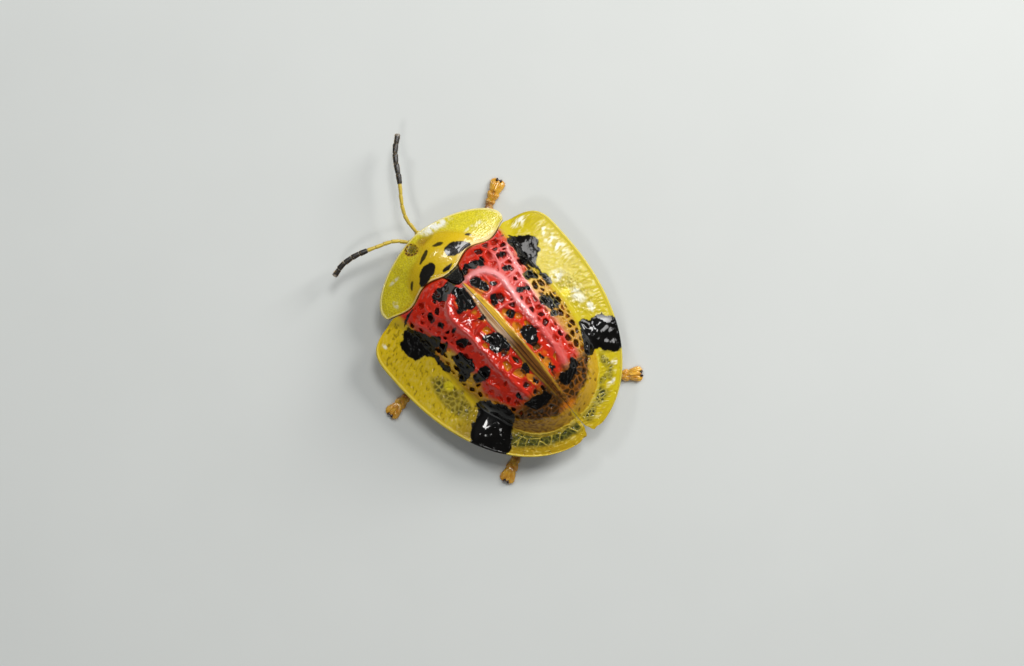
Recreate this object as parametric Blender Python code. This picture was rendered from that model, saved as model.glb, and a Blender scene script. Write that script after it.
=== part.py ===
# A tortoise beetle at life size, standing on six feet. Lengths are in millimetres until a mesh is made.
# X points to the beetle's left, Y from head to tail and Z up; Y is 0 at the front edge of the pronotum.
import math

import bmesh
import bpy
import numpy as np
from mathutils import Vector

MM = 0.001
GAP = 0.3
FINE_GAP = 0.2

# Elytra: the pair of wing cases, each a raised disc inside a wide, thin, sloping margin.
SHELL_HALF_WIDTH = 5.36
SHELL_WIDEST_Y = 4.8
SHELL_FRONT_REACH = 2.55
SHELL_REAR_REACH = 7.78
SHELL_FRONT_SQUARENESS = 5.0
SHELL_REAR_SQUARENESS = 2.1
SHELL_THICKNESS = 0.55
SHOULDER_INNER_X = 3.9
APEX_INNER_X = 0.32
APEX_SUTURE_Y = 12.42
SCUTELLUM_TIP_Y = 3.2
SCUTELLUM_NOTCH_X = 0.85
MARGIN_EDGE_Z = 1.55
MARGIN_RISE = 1.95

DISC_HALF_WIDTH = 3.3
DISC_CENTRE_Y = 5.5
DISC_REAR_REACH = 5.75
DISC_SQUARENESS = 2.4
DISC_ROUNDNESS = 2.6
DISC_BASE_Z = 2.15
DISC_HEIGHT = 2.4
HUMP_Y = 4.4
HUMP_HEIGHT = 0.18
HUMP_TO_BASE = 1.9
BASE_DROP = 1.05
GUTTER_SOFTNESS = 0.16
SHOULDER_KNOB = (2.9, 3.3, 0.5, 0.2)

DISC_COLUMNS = 21
MARGIN_COLUMNS = 6
DISC_SHARE = 0.6
BEAD_SHARE = 0.97
BEAD_HEIGHT = 0.05
ELYTRON_ROWS = 34
COSTA_COLUMNS = (9, 14)
PIT_COLUMNS = (4, 6, 11, 12, 16, 18)
COSTA_HEIGHT = 0.13
PIT_DEPTH = 0.13
SUTURE_RIDGE_HALF_WIDTH = 0.36
SUTURE_RIDGE_HEIGHT = 0.09
CROSS_RIDGE_Y = 4.45
CROSS_RIDGE_X = 1.5
CROSS_RIDGE_HEIGHT = 0.1

# Pronotum: the shield over the head.
PRONOTUM_HALF_WIDTH = 3.72
PRONOTUM_CORNER_Y = 1.8
PRONOTUM_SQUARENESS = 1.65
PRONOTUM_THICKNESS = 0.5
PRONOTUM_FRONT_Z = 2.4
PRONOTUM_CORNER_DROP = 0.8
PRONOTUM_RISE = 0.6
PRONOTUM_DOME = 0.36
PRONOTUM_COLUMNS = 28
PRONOTUM_ROWS = 8
PRONOTUM_REAR_SHARE = 0.965
PRONOTUM_SIDE_BULGE = 0.06
SEAM_Y = 2.32
SEAM_WAVE = 0.17
SEAM_WAVELENGTH = 2.5
SEAM_CREST_X = 2.55

# Scutellum: the small triangle between the bases of the elytra.
SCUTELLUM_HALF_WIDTH = 0.52
SCUTELLUM_LENGTH = 0.4
SCUTELLUM_TIP_HALF_WIDTH = 0.09
SCUTELLUM_DOME = 0.06

# Thorax and abdomen, under the shell.
BODY_HALF_WIDTH = 2.65
BODY_CENTRE_Y = 5.6
BODY_HALF_LENGTH = 5.55
BODY_SQUARENESS = 2.6
THORAX_FRONT_Y = 1.3
WAIST_Y = 7.3
ABDOMEN_REAR_Y = 10.9
BELLY_Z = 1.15
BELLY_SIDE_LIFT = 0.3
KEEL_HALF_WIDTH = 0.6
THORAX_GROOVES_Y = (3.6, 5.7)
THORAX_GROOVE_DEPTH = 0.12
STERNITES = 4
STERNITE_STEP = 0.09
BODY_COLUMNS = 12

# Head, eyes and mouthparts, under the front of the pronotum.
HEAD_X = 0.1
HEAD_Y = 0.62
HEAD_Z = 1.32
HEAD_RADII = (0.62, 0.46, 0.5)
HEAD_CHEEK = 0.3
HEAD_BACK = 0.38
HEAD_FACE = 0.4
HEAD_CHIN = 0.36
EYE_RADII = (0.3, 0.34, 0.38)
EYE_Y = -0.06
EYE_Z = 0.06
MOUTH_RADII = (0.32, 0.26, 0.3)
PALP_SPREAD = 0.16

# Antennae: eleven segments each, the last five a thicker club.
ANTENNA_SEGMENTS = 11
CLUB_SEGMENTS = 5
ANTENNA_THICKNESS = 0.46
CLUB_THICKNESS = 0.54
ANTENNA_TIP = 0.26
ANTENNA_SIDES = 8
ANTENNA_ROUTES = {
    "antenna_left": (
        (0.45, 0.02, 1.32), (0.97, -0.5, 1.5), (1.7, -0.8, 1.66), (2.55, -1.1, 1.7),
        (3.04, -1.22, 1.66), (3.6, -1.25, 1.6), (4.2, -1.1, 1.5),
    ),
    "antenna_right": (
        (-0.15, 0.02, 1.32), (-0.17, -0.8, 1.55), (-0.45, -1.5, 1.68), (-1.07, -2.38, 1.7),
        (-1.45, -3.0, 1.64), (-1.9, -3.65, 1.54), (-2.6, -4.27, 1.4),
    ),
}

# Legs: hip, knee, ankle and claw tip of each, seen from above.
LEG_PLANS = {
    "leg_front_left": ((0.8, 2.6), (2.7, 2.2), (3.35, 3.6), (4.55, 3.2)),
    "leg_front_right": ((-0.8, 2.6), (-2.95, 3.1), (-3.62, 1.15), (-4.95, 0.5)),
    "leg_middle_left": ((1.15, 4.7), (3.3, 4.35), (5.2, 5.4), (6.66, 5.55)),
    "leg_middle_right": ((-1.15, 4.7), (-3.15, 4.1), (-3.05, 5.9), (-3.8, 6.95)),
    "leg_hind_left": ((1.1, 6.7), (3.05, 8.7), (3.25, 11.05), (4.6, 11.65)),
    "leg_hind_right": ((-1.1, 6.7), (-2.95, 8.9), (-2.7, 11.3), (-3.9, 12.15)),
}
HIP_Z = 0.5
KNEE_Z = 0.75
ANKLE_Z = 0.36
FEMUR_THICKNESS = (0.7, 0.78, 0.72, 0.56)
TIBIA_THICKNESS = (0.5, 0.5, 0.54, 0.56)
TARSUS_LOBES = ((0.18, 0.3, 0.3, 0.21), (0.45, 0.3, 0.38, 0.23), (0.7, 0.3, 0.44, 0.24))
LOBE_Z = 0.2
LAST_LOBE_SINK = 0.05
JOINT_OVERLAP = 0.12
CLAW_SPREAD = 0.13
CLAW_ROOT = 0.82
CLAW_THICKNESS = (0.2, 0.17, 0.07)


def smooth_step(low, high, value):
    share = np.clip((value - low) / (high - low), 0.0, 1.0)
    return share * share * (3.0 - 2.0 * share)


def smooth_max(a, b, softness):
    share = np.clip(0.5 + 0.5 * (a - b) / softness, 0.0, 1.0)
    return b + (a - b) * share + softness * share * (1.0 - share)


def seam_y(x):
    """The wavy line where the pronotum meets the elytra."""
    wave = np.cos(2.0 * math.pi * (np.abs(x) - SEAM_CREST_X) / SEAM_WAVELENGTH)
    return SEAM_Y + SEAM_WAVE * wave


def margin_radius(x, y):
    """0 at the middle of the widest line, 1 on the outer edge of the elytra."""
    front = y < SHELL_WIDEST_Y
    reach = np.where(front, SHELL_FRONT_REACH, SHELL_REAR_REACH)
    power = np.where(front, SHELL_FRONT_SQUARENESS, SHELL_REAR_SQUARENESS)
    across = np.abs(x) / SHELL_HALF_WIDTH
    along = np.abs(y - SHELL_WIDEST_Y) / reach
    return (across**power + along**power) ** (1.0 / power)


def disc_radius(x, y):
    """0 on the ridge, 1 where the disc meets the margin."""
    across = np.abs(x) / DISC_HALF_WIDTH
    along = np.maximum(y - DISC_CENTRE_Y, 0.0) / DISC_REAR_REACH
    return (across**DISC_SQUARENESS + along**DISC_SQUARENESS) ** (1.0 / DISC_SQUARENESS)


def elytra_z(x, y):
    """Height of the upper face of the elytra, without its small relief."""
    before_hump = np.maximum(HUMP_Y - y, 0.0) / HUMP_TO_BASE
    ridge = DISC_HEIGHT + HUMP_HEIGHT * np.exp(-((y - HUMP_Y) ** 2)) - BASE_DROP * before_hump**1.6
    disc = DISC_BASE_Z + ridge * (1.0 - disc_radius(x, y) ** DISC_ROUNDNESS)
    inward = 1.0 - margin_radius(x, y)
    margin = MARGIN_EDGE_Z + MARGIN_RISE * np.minimum(inward, 0.42)
    knob_x, knob_y, knob_radius, knob_height = SHOULDER_KNOB
    away = ((np.abs(x) - knob_x) ** 2 + (y - knob_y) ** 2) / knob_radius**2
    return smooth_max(disc, margin, GUTTER_SOFTNESS) + knob_height * np.exp(-away)


def pronotum_z(x, y):
    """Height of the upper face of the pronotum."""
    across = np.abs(x) / PRONOTUM_HALF_WIDTH
    along = np.maximum(PRONOTUM_CORNER_Y - y, 0.0) / PRONOTUM_CORNER_Y
    power = PRONOTUM_SQUARENESS
    inward = 1.0 - (across**power + along**power) ** (2.0 / power)
    edge = PRONOTUM_FRONT_Z - PRONOTUM_CORNER_DROP * across**1.6
    dome = PRONOTUM_DOME * np.exp(-((x / 1.75) ** 4) - ((y - 1.95) / 1.15) ** 4)
    return edge + PRONOTUM_RISE * np.maximum(inward, 0.0) + dome


def steepness(height, x, y):
    """How much longer a vertical line through a sheet of this height is than the sheet is thick."""
    step = 0.02
    slope_x = (height(x + step, y) - height(x - step, y)) / (2.0 * step)
    slope_y = (height(x, y + step) - height(x, y - step)) / (2.0 * step)
    return np.minimum(np.sqrt(1.0 + slope_x**2 + slope_y**2), 1.8)


def under_shell(x, y):
    """Height of the under faces of the pronotum and the elytra."""
    shield = pronotum_z(x, y) - PRONOTUM_THICKNESS * steepness(pronotum_z, x, y)
    wings = elytra_z(x, y) - SHELL_THICKNESS * steepness(elytra_z, x, y)
    near_seam = np.minimum(shield, wings)
    return np.where(y < SEAM_Y - GAP, shield, np.where(y > SCUTELLUM_TIP_Y, wings, near_seam))


def outer_edge(shares):
    """Points on the outer edge of one elytron, from its shoulder (share 0) to its apex (share 1)."""
    shoulder = math.acos((SHOULDER_INNER_X / SHELL_HALF_WIDTH) ** (SHELL_FRONT_SQUARENESS / 2))
    apex = math.acos((APEX_INNER_X / SHELL_HALF_WIDTH) ** (SHELL_REAR_SQUARENESS / 2))
    front = np.linspace(shoulder, 0, 60)
    rear = np.linspace(0, apex, 140)[1:]
    front_power, rear_power = 2 / SHELL_FRONT_SQUARENESS, 2 / SHELL_REAR_SQUARENESS
    x = SHELL_HALF_WIDTH * np.concatenate([np.cos(front) ** front_power, np.cos(rear) ** rear_power])
    front_y = SHELL_WIDEST_Y - SHELL_FRONT_REACH * np.sin(front) ** front_power
    rear_y = SHELL_WIDEST_Y + SHELL_REAR_REACH * np.sin(rear) ** rear_power
    y = np.concatenate([front_y, rear_y])
    length = np.concatenate([[0], np.cumsum(np.hypot(np.diff(x), np.diff(y)))])
    length /= length[-1]
    return np.interp(shares, length, x), np.interp(shares, length, y)


def elytron_plan():
    """X and Y of the elytron's grid: rows run from the suture to the outer edge, from base to apex."""
    along = np.linspace(0, 1, ELYTRON_ROWS + 1)[:, None]
    on_disc = np.linspace(0, DISC_SHARE, DISC_COLUMNS + 1)
    on_margin = np.linspace(DISC_SHARE, BEAD_SHARE, MARGIN_COLUMNS + 1)[1:]
    across = np.concatenate([on_disc, on_margin, [1.0]])[None, :]
    edge_x, edge_y = outer_edge(along)
    inner_x = GAP / 2
    x = inner_x + (edge_x - inner_x) * across
    suture_y = SCUTELLUM_TIP_Y + (APEX_SUTURE_Y - SCUTELLUM_TIP_Y) * along**1.25
    fan_y = suture_y + (edge_y - suture_y) * across**1.4
    base_x = x[:1]
    notch = smooth_step(inner_x, SCUTELLUM_NOTCH_X, base_x)
    base_y = SCUTELLUM_TIP_Y + (seam_y(base_x) + GAP / 2 - SCUTELLUM_TIP_Y) * notch
    base_y = base_y + (edge_y[0] - base_y) * smooth_step(3.3, SHOULDER_INNER_X, base_x)
    return x, fan_y + (base_y - fan_y[:1]) * (1 - along) ** 3


def elytron_relief(x, y):
    """Raised costae, suture and outer bead, and rows of pits on the disc, as coarse as the grid."""
    relief = np.zeros_like(x)
    on_disc = (1 - smooth_step(0.8, 0.97, disc_radius(x, y))) * smooth_step(3.1, 3.6, y)
    behind_base = smooth_step(3.5, 4.3, y) * (1 - smooth_step(8.8, 10.2, y))
    rows = np.arange(ELYTRON_ROWS + 1)
    for order, column in enumerate(PIT_COLUMNS):
        pitted = (rows + order) % 2 == 0
        relief[pitted, column] -= PIT_DEPTH * on_disc[pitted, column]
    for column in COSTA_COLUMNS:
        relief[:, column] += COSTA_HEIGHT * behind_base[:, column]
    width = SUTURE_RIDGE_HALF_WIDTH
    on_suture = (1 - smooth_step(width - 0.1, width + 0.1, x)) * smooth_step(3.4, 4.4, y)
    relief += SUTURE_RIDGE_HEIGHT * on_suture * (1 - smooth_step(10.5, 11.3, y))
    on_cross_ridge = np.exp(-(((y - CROSS_RIDGE_Y) / 0.25) ** 2)) * (1 - smooth_step(1.2, CROSS_RIDGE_X, x))
    relief += CROSS_RIDGE_HEIGHT * on_cross_ridge
    relief[:, -1] += BEAD_HEIGHT
    relief[[0, -1]] = 0
    return relief


def material(name, colour, roughness):
    made = bpy.data.materials.new(name)
    made.use_nodes = True
    shader = made.node_tree.nodes["Principled BSDF"]
    shader.inputs["Base Color"].default_value = (*colour, 1)
    shader.inputs["Roughness"].default_value = roughness
    shader.inputs["Metallic"].default_value = 0.0
    return made


def mesh_object(name, points, faces, finish):
    """A closed mesh from points in millimetres, its faces turned outwards."""
    mesh = bpy.data.meshes.new(name)
    mesh.from_pydata([tuple(float(c) * MM for c in p) for p in points], [], faces)
    made = bmesh.new()
    made.from_mesh(mesh)
    if made.calc_volume(signed=True) < 0:
        bmesh.ops.reverse_faces(made, faces=made.faces)
    made.to_mesh(mesh)
    made.free()
    smooth(mesh)
    obj = bpy.data.objects.new(name, mesh)
    mesh.materials.append(finish)
    bpy.context.scene.collection.objects.link(obj)
    return obj


def smooth(mesh):
    mesh.shade_smooth()
    mesh.set_sharp_from_angle(angle=math.radians(45))


def plate(name, x, y, top, bottom, finish):
    """A sheet between two height fields on one grid, split into triangles alike on both faces."""
    rows, columns = x.shape
    upper = np.stack([x, y, top], -1).reshape(-1, 3)
    lower = np.stack([x, y, bottom], -1).reshape(-1, 3)
    count = rows * columns
    faces = []
    for i in range(rows - 1):
        for j in range(columns - 1):
            a, b = i * columns + j, i * columns + j + 1
            c, d = a + columns, b + columns
            for triangle in ((a, b, d), (a, d, c)):
                faces.append(triangle)
                faces.append(tuple(count + k for k in reversed(triangle)))
    rim = [j for j in range(columns)]
    rim += [i * columns + columns - 1 for i in range(1, rows)]
    rim += [(rows - 1) * columns + j for j in range(columns - 2, -1, -1)]
    rim += [i * columns for i in range(rows - 2, 0, -1)]
    for a, b in zip(rim, rim[1:] + rim[:1]):
        faces.append((a, count + a, count + b))
        faces.append((a, count + b, b))
    return mesh_object(name, np.concatenate([upper, lower]), faces, finish)


def tube(name, path, widths, sides, finish, ceiling=None):
    """A closed tube of round rings along a path, capped at both ends and kept under the ceiling."""
    path = [Vector(p) for p in path]
    points, faces = [], []
    for i, here in enumerate(path):
        ahead = path[min(i + 1, len(path) - 1)] - path[max(i - 1, 0)]
        side = ahead.cross(Vector((0, 0, 1))).normalized()
        up = side.cross(ahead).normalized()
        for k in range(sides):
            angle = 2 * math.pi * (k + 0.5) / sides
            point = here + (side * math.cos(angle) + up * math.sin(angle)) * (widths[i] / 2)
            if ceiling is not None:
                point.z = min(point.z, ceiling(point.x, point.y))
            points.append(point)
    for i in range(len(path) - 1):
        for k in range(sides):
            a, b = i * sides + k, i * sides + (k + 1) % sides
            faces.append((a, b, b + sides))
            faces.append((a, b + sides, a + sides))
    faces.append(tuple(reversed(range(sides))))
    faces.append(tuple(range(len(points) - sides, len(points))))
    return mesh_object(name, points, faces, finish)


def ball(name, centre, radii, finish, sides=12, rings=7, turn=0.0):
    """An ellipsoid turned about Z."""
    tilts = [math.pi * i / rings for i in range(rings + 1)]
    offsets = [Vector((0, 0, radii[2]))]
    for tilt in tilts[1:-1]:
        for k in range(sides):
            around = 2 * math.pi * k / sides
            spread = math.sin(tilt)
            along, across = radii[0] * spread * math.cos(around), radii[1] * spread * math.sin(around)
            x = along * math.cos(turn) - across * math.sin(turn)
            y = along * math.sin(turn) + across * math.cos(turn)
            offsets.append(Vector((x, y, radii[2] * math.cos(tilt))))
    offsets.append(Vector((0, 0, -radii[2])))
    points = [Vector(centre) + offset for offset in offsets]
    last = len(points) - 1
    faces = []
    for k in range(sides):
        after = (k + 1) % sides
        faces.append((0, 1 + k, 1 + after))
        faces.append((last, last - sides + after, last - sides + k))
        for i in range(rings - 2):
            a, b = 1 + i * sides + k, 1 + i * sides + after
            faces.append((a, a + sides, b + sides))
            faces.append((a, b + sides, b))
    return mesh_object(name, points, faces, finish)


def trimmed(obj, *planes):
    """Cuts the object flat along planes, each a point in millimetres and the direction that is cut away."""
    made = bmesh.new()
    made.from_mesh(obj.data)
    for point, outward in planes:
        everything = made.verts[:] + made.edges[:] + made.faces[:]
        where = {"plane_co": Vector(point) * MM, "plane_no": Vector(outward), "dist": 1e-7}
        cut = bmesh.ops.bisect_plane(made, geom=everything, clear_outer=True, **where)
        edges = [part for part in cut["geom_cut"] if isinstance(part, bmesh.types.BMEdge)]
        bmesh.ops.contextual_create(made, geom=edges)
    bmesh.ops.recalc_face_normals(made, faces=made.faces)
    bmesh.ops.triangulate(made, faces=made.faces)
    made.to_mesh(obj.data)
    made.free()
    smooth(obj.data)
    return obj


def united(name, pieces):
    """Joins the pieces to the first one by a Boolean union and removes the others."""
    target, others = pieces[0], pieces[1:]
    target.name = name
    helpers = bpy.data.collections.new(name + "_pieces")
    bpy.context.scene.collection.children.link(helpers)
    for other in others:
        bpy.context.scene.collection.objects.unlink(other)
        helpers.objects.link(other)
    modifier = target.modifiers.new("Union", "BOOLEAN")
    modifier.operation = "UNION"
    modifier.operand_type = "COLLECTION"
    modifier.collection = helpers
    modifier.solver = "EXACT"
    graph = bpy.context.evaluated_depsgraph_get()
    joined = bpy.data.meshes.new_from_object(target.evaluated_get(graph))
    target.modifiers.clear()
    target.data = joined
    keep_largest(joined)
    for other in others:
        bpy.data.objects.remove(other)
    bpy.data.collections.remove(helpers)
    return target


def keep_largest(mesh):
    """Leaves only the largest closed surface of the mesh."""
    made = bmesh.new()
    made.from_mesh(mesh)
    unseen, groups = set(made.verts), []
    while unseen:
        todo, group = [unseen.pop()], []
        while todo:
            vertex = todo.pop()
            group.append(vertex)
            for edge in vertex.link_edges:
                other = edge.other_vert(vertex)
                if other in unseen:
                    unseen.discard(other)
                    todo.append(other)
        groups.append(group)
    groups.sort(key=len)
    for group in groups[:-1]:
        bmesh.ops.delete(made, geom=group, context="VERTS")
    bmesh.ops.triangulate(made, faces=made.faces)
    made.to_mesh(mesh)
    made.free()
    smooth(mesh)


def curve_through(stops, count):
    """Points evenly spread along a smooth curve through the stops, and the curve's length."""
    stops = np.array(stops, float)
    padded = np.vstack([2 * stops[0] - stops[1], stops, 2 * stops[-1] - stops[-2]])
    fine = []
    for i in range(1, len(padded) - 2):
        before, start, end, after = padded[i - 1 : i + 3]
        for t in np.linspace(0, 1, 24, endpoint=False):
            bend = 2 * before - 5 * start + 4 * end - after
            twist = -before + 3 * start - 3 * end + after
            fine.append(start + 0.5 * ((end - before) * t + bend * t**2 + twist * t**3))
    fine = np.array(fine + [stops[-1]])
    length = np.concatenate([[0], np.cumsum(np.linalg.norm(np.diff(fine, axis=0), axis=1))])
    wanted = np.array(count) * length[-1]
    return np.stack([np.interp(wanted, length, fine[:, axis]) for axis in range(3)], -1)


def make_elytra(finish):
    x, y = elytron_plan()
    level = elytra_z(x, y)
    top = level + elytron_relief(x, y)
    bottom = level - SHELL_THICKNESS * steepness(elytra_z, x, y)
    plate("elytron_left", x, y, top, bottom, finish)
    plate("elytron_right", -x, y, top, bottom, finish)


def make_pronotum(finish):
    side = np.linspace(-1, 1, PRONOTUM_COLUMNS + 1)[None, :]
    back = np.linspace(0, 1, PRONOTUM_ROWS + 1)[:, None]
    turn = side * math.radians(86)
    power = 2 / PRONOTUM_SQUARENESS
    front_x = PRONOTUM_HALF_WIDTH * np.sign(side) * np.abs(np.sin(turn)) ** power
    front_y = PRONOTUM_CORNER_Y * (1 - np.cos(turn) ** power)
    rear_x = front_x * PRONOTUM_REAR_SHARE
    rear_y = seam_y(rear_x) - GAP / 2
    x = front_x + (rear_x - front_x) * back + PRONOTUM_SIDE_BULGE * np.sin(math.pi * back) * side**9
    y = front_y + (rear_y - front_y) * back
    top = pronotum_z(x, y)
    plate("pronotum", x, y, top, top - PRONOTUM_THICKNESS * steepness(pronotum_z, x, y), finish)


def make_scutellum(finish):
    back = np.linspace(0, 1, 4)[:, None]
    side = np.linspace(-1, 1, 5)[None, :]
    half_width = SCUTELLUM_HALF_WIDTH + (SCUTELLUM_TIP_HALF_WIDTH - SCUTELLUM_HALF_WIDTH) * back
    x = side * half_width
    y = SCUTELLUM_TIP_Y - FINE_GAP - SCUTELLUM_LENGTH * (1 - back) + 0 * side
    top = elytra_z(x, y) + SCUTELLUM_DOME * (1 - side**2)
    plate("scutellum", x, y, top, elytra_z(x, y) - SHELL_THICKNESS, finish)


def belly_z(x, y):
    outside_keel = np.maximum(np.abs(x) - KEEL_HALF_WIDTH, 0) / (BODY_HALF_WIDTH - KEEL_HALF_WIDTH)
    return BELLY_Z + BELLY_SIDE_LIFT * outside_keel**2 + 0 * y


def body_length(name, stations, lifts, finish):
    """One length of the body, from the belly to just under the shell, with its ends cut square."""
    y = np.array(stations)[:, None]
    side = np.sin(np.linspace(-1, 1, BODY_COLUMNS + 1) * math.pi / 2)[None, :]
    from_middle = np.abs(y - BODY_CENTRE_Y) / BODY_HALF_LENGTH
    half_width = BODY_HALF_WIDTH * np.sqrt(1 - from_middle**BODY_SQUARENESS)
    x = side * half_width
    y = y + 0 * side
    bottom = belly_z(x, y) + np.array(lifts)[:, None]
    top = np.maximum(under_shell(x, y) - GAP, bottom + GAP)
    plate(name, x, y, top, bottom, finish)


def make_body(finish):
    stations = list(np.linspace(THORAX_FRONT_Y, WAIST_Y - GAP / 2, 9))
    stations += [y + reach for y in THORAX_GROOVES_Y for reach in (-0.12, 0, 0.12)]
    stations.sort()
    lifts = [THORAX_GROOVE_DEPTH * (y in THORAX_GROOVES_Y) for y in stations]
    body_length("thorax", stations, lifts, finish)
    stations, lifts = [], []
    front, rear = WAIST_Y + GAP / 2, ABDOMEN_REAR_Y
    for i in range(STERNITES):
        for share, lift in ((0.0, STERNITE_STEP), (0.15, 0.0), (0.6, 0.02), (0.95, 0.05)):
            stations.append(front + (rear - front) * (i + share) / STERNITES)
            lifts.append(lift)
    stations.append(rear)
    lifts.append(STERNITE_STEP)
    body_length("abdomen", stations, lifts, finish)


def make_head(skin, lens):
    middle = Vector((HEAD_X, HEAD_Y, HEAD_Z))
    head = ball("head", middle, HEAD_RADII, skin, sides=20, rings=12)
    reaches = ((HEAD_CHEEK, 0, 0), (-HEAD_CHEEK, 0, 0), (0, HEAD_BACK, 0), (0, -HEAD_FACE, 0), (0, 0, -HEAD_CHIN))
    trimmed(head, *((middle + Vector(reach), Vector(reach).normalized()) for reach in reaches))
    for name, hand in (("eye_left", 1), ("eye_right", -1)):
        centre = middle + Vector((hand * (HEAD_CHEEK + FINE_GAP), EYE_Y, EYE_Z))
        eye = ball(name, centre, EYE_RADII, lens, sides=16, rings=10)
        trimmed(eye, (centre, (-hand, 0, 0)))
    mouth_top = HEAD_Z - HEAD_CHIN - FINE_GAP
    centre = Vector((HEAD_X, HEAD_Y - 0.14, mouth_top - 0.12))
    muzzle = ball("muzzle", centre, MOUTH_RADII, skin)
    pieces = [trimmed(muzzle, ((0, 0, mouth_top), (0, 0, 1)))]
    for hand in (-1, 1):
        root = centre + Vector((hand * PALP_SPREAD, -0.08, -0.12))
        path = [root, root + Vector((hand * 0.05, -0.16, -0.08)), root + Vector((hand * 0.04, -0.26, -0.16))]
        pieces.append(tube("palp", path, (0.2, 0.2, 0.12), 6, skin))
    united("mouthparts", pieces)


def make_antennae(finish):
    """Each segment is narrow at its root, swells and ends a little narrower again."""
    shares, widths = [0.0], [ANTENNA_THICKNESS * 0.85]
    for i in range(ANTENNA_SEGMENTS):
        in_club = i >= ANTENNA_SEGMENTS - CLUB_SEGMENTS
        width = CLUB_THICKNESS if in_club else ANTENNA_THICKNESS
        last = i == ANTENNA_SEGMENTS - 1
        for share, swell in ((0.12, 0.84), (0.5, 1.0), (0.88, 0.96)):
            shares.append((i + share) / ANTENNA_SEGMENTS)
            widths.append(width * swell * (1 - 0.35 * share * last))
    shares.append(1.0)
    widths.append(ANTENNA_TIP)
    for name, route in ANTENNA_ROUTES.items():
        tube(name, curve_through(route, shares), widths, ANTENNA_SIDES, finish)


def make_leg(name, plan, finish):
    """Femur, tibia, a tarsus of three flat lobes on the floor and two claws, joined into one body."""
    hip, knee, ankle, toe = (Vector((*p, 0)) for p in plan)
    hip.z, knee.z, ankle.z = HIP_Z, KNEE_Z, ANKLE_Z
    pieces = []
    for start, end, widths in ((hip, knee, FEMUR_THICKNESS), (knee, ankle, TIBIA_THICKNESS)):
        overlap = (end - start).normalized() * JOINT_OVERLAP
        stops = [start - overlap, start.lerp(end, 0.35), start.lerp(end, 0.7), end + overlap]
        pieces.append(tube("length", stops, widths, 8, finish, ceiling=lambda x, y: belly_z(x, y) - GAP))
    along = toe - Vector((ankle.x, ankle.y, 0))
    turn = math.atan2(along.y, along.x)
    for share, half_length, half_width, half_height in TARSUS_LOBES:
        centre = Vector((ankle.x, ankle.y, LOBE_Z)) + along * share
        sole_z = 0.0 if share == TARSUS_LOBES[-1][0] else LAST_LOBE_SINK
        lobe = ball("lobe", centre, (half_length, half_width, half_height), finish, sides=10, rings=6, turn=turn)
        pieces.append(trimmed(lobe, ((0, 0, sole_z), (0, 0, -1))))
    across = Vector((-along.y, along.x, 0)).normalized()
    for hand in (-1, 1):
        root = Vector((ankle.x, ankle.y, 0.24)) + along * CLAW_ROOT + across * (hand * CLAW_SPREAD * 0.5)
        tip = Vector((toe.x, toe.y, 0.12)) + across * (hand * CLAW_SPREAD)
        middle = root.lerp(tip, 0.55) + Vector((0, 0, 0.03))
        pieces.append(tube("claw", (root, middle, tip), CLAW_THICKNESS, 6, finish))
    united(name, pieces)


def centre_on_origin():
    """Hangs every node on one empty, so that the whole stands on Z 0 with its box centred on X 0 and Y 0."""
    nodes = list(bpy.context.scene.collection.objects)
    corners = np.array([vertex.co[:] for node in nodes for vertex in node.data.vertices])
    low, high = corners.min(axis=0), corners.max(axis=0)
    middle = (low + high) / 2
    stand = bpy.data.objects.new("beetle", None)
    bpy.context.scene.collection.objects.link(stand)
    stand.location = (-middle[0], -middle[1], -low[2])
    for node in nodes:
        node.parent = stand


def main():
    for obj in list(bpy.data.objects):
        bpy.data.objects.remove(obj)
    shell = material("red_and_amber_shell", (0.62, 0.12, 0.02), 0.2)
    shield = material("amber_shield", (0.75, 0.5, 0.03), 0.25)
    black = material("glossy_black", (0.01, 0.008, 0.006), 0.15)
    body = material("dark_body", (0.06, 0.025, 0.012), 0.35)
    face = material("ochre_head", (0.5, 0.26, 0.04), 0.35)
    lens = material("golden_eye", (0.35, 0.17, 0.03), 0.2)
    feeler = material("yellow_antenna", (0.75, 0.5, 0.06), 0.35)
    leg = material("orange_leg", (0.55, 0.2, 0.03), 0.3)
    make_elytra(shell)
    make_pronotum(shield)
    make_scutellum(black)
    make_body(body)
    make_head(face, lens)
    make_antennae(feeler)
    for name, plan in LEG_PLANS.items():
        make_leg(name, plan, leg)
    centre_on_origin()


main()
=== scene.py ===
# Looks of a tortoise beetle at life size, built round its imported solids.
# Shapes are worked out in millimetres, with X to the beetle's left, Y from the front edge of its
# neck shield towards the tail, and Z up from the floor. Markings are given as seen from above with
# the head at the top, so in them a positive first number lies on the beetle's right.
import math

import bmesh
import bpy
import numpy as np
from mathutils import Matrix, Vector


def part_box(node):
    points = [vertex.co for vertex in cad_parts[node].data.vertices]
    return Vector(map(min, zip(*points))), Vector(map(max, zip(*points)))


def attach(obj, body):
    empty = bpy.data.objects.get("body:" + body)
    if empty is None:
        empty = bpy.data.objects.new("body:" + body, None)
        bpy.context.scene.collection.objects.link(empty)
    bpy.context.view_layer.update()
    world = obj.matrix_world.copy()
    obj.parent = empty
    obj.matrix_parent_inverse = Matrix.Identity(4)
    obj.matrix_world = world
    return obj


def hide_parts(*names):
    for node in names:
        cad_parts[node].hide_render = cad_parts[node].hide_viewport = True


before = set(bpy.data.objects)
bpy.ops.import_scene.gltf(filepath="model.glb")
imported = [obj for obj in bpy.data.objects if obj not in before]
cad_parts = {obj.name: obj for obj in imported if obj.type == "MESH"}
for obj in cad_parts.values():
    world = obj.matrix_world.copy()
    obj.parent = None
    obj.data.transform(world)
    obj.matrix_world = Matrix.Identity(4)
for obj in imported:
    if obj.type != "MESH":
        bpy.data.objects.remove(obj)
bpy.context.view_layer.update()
millimetre = 0.001
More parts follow.
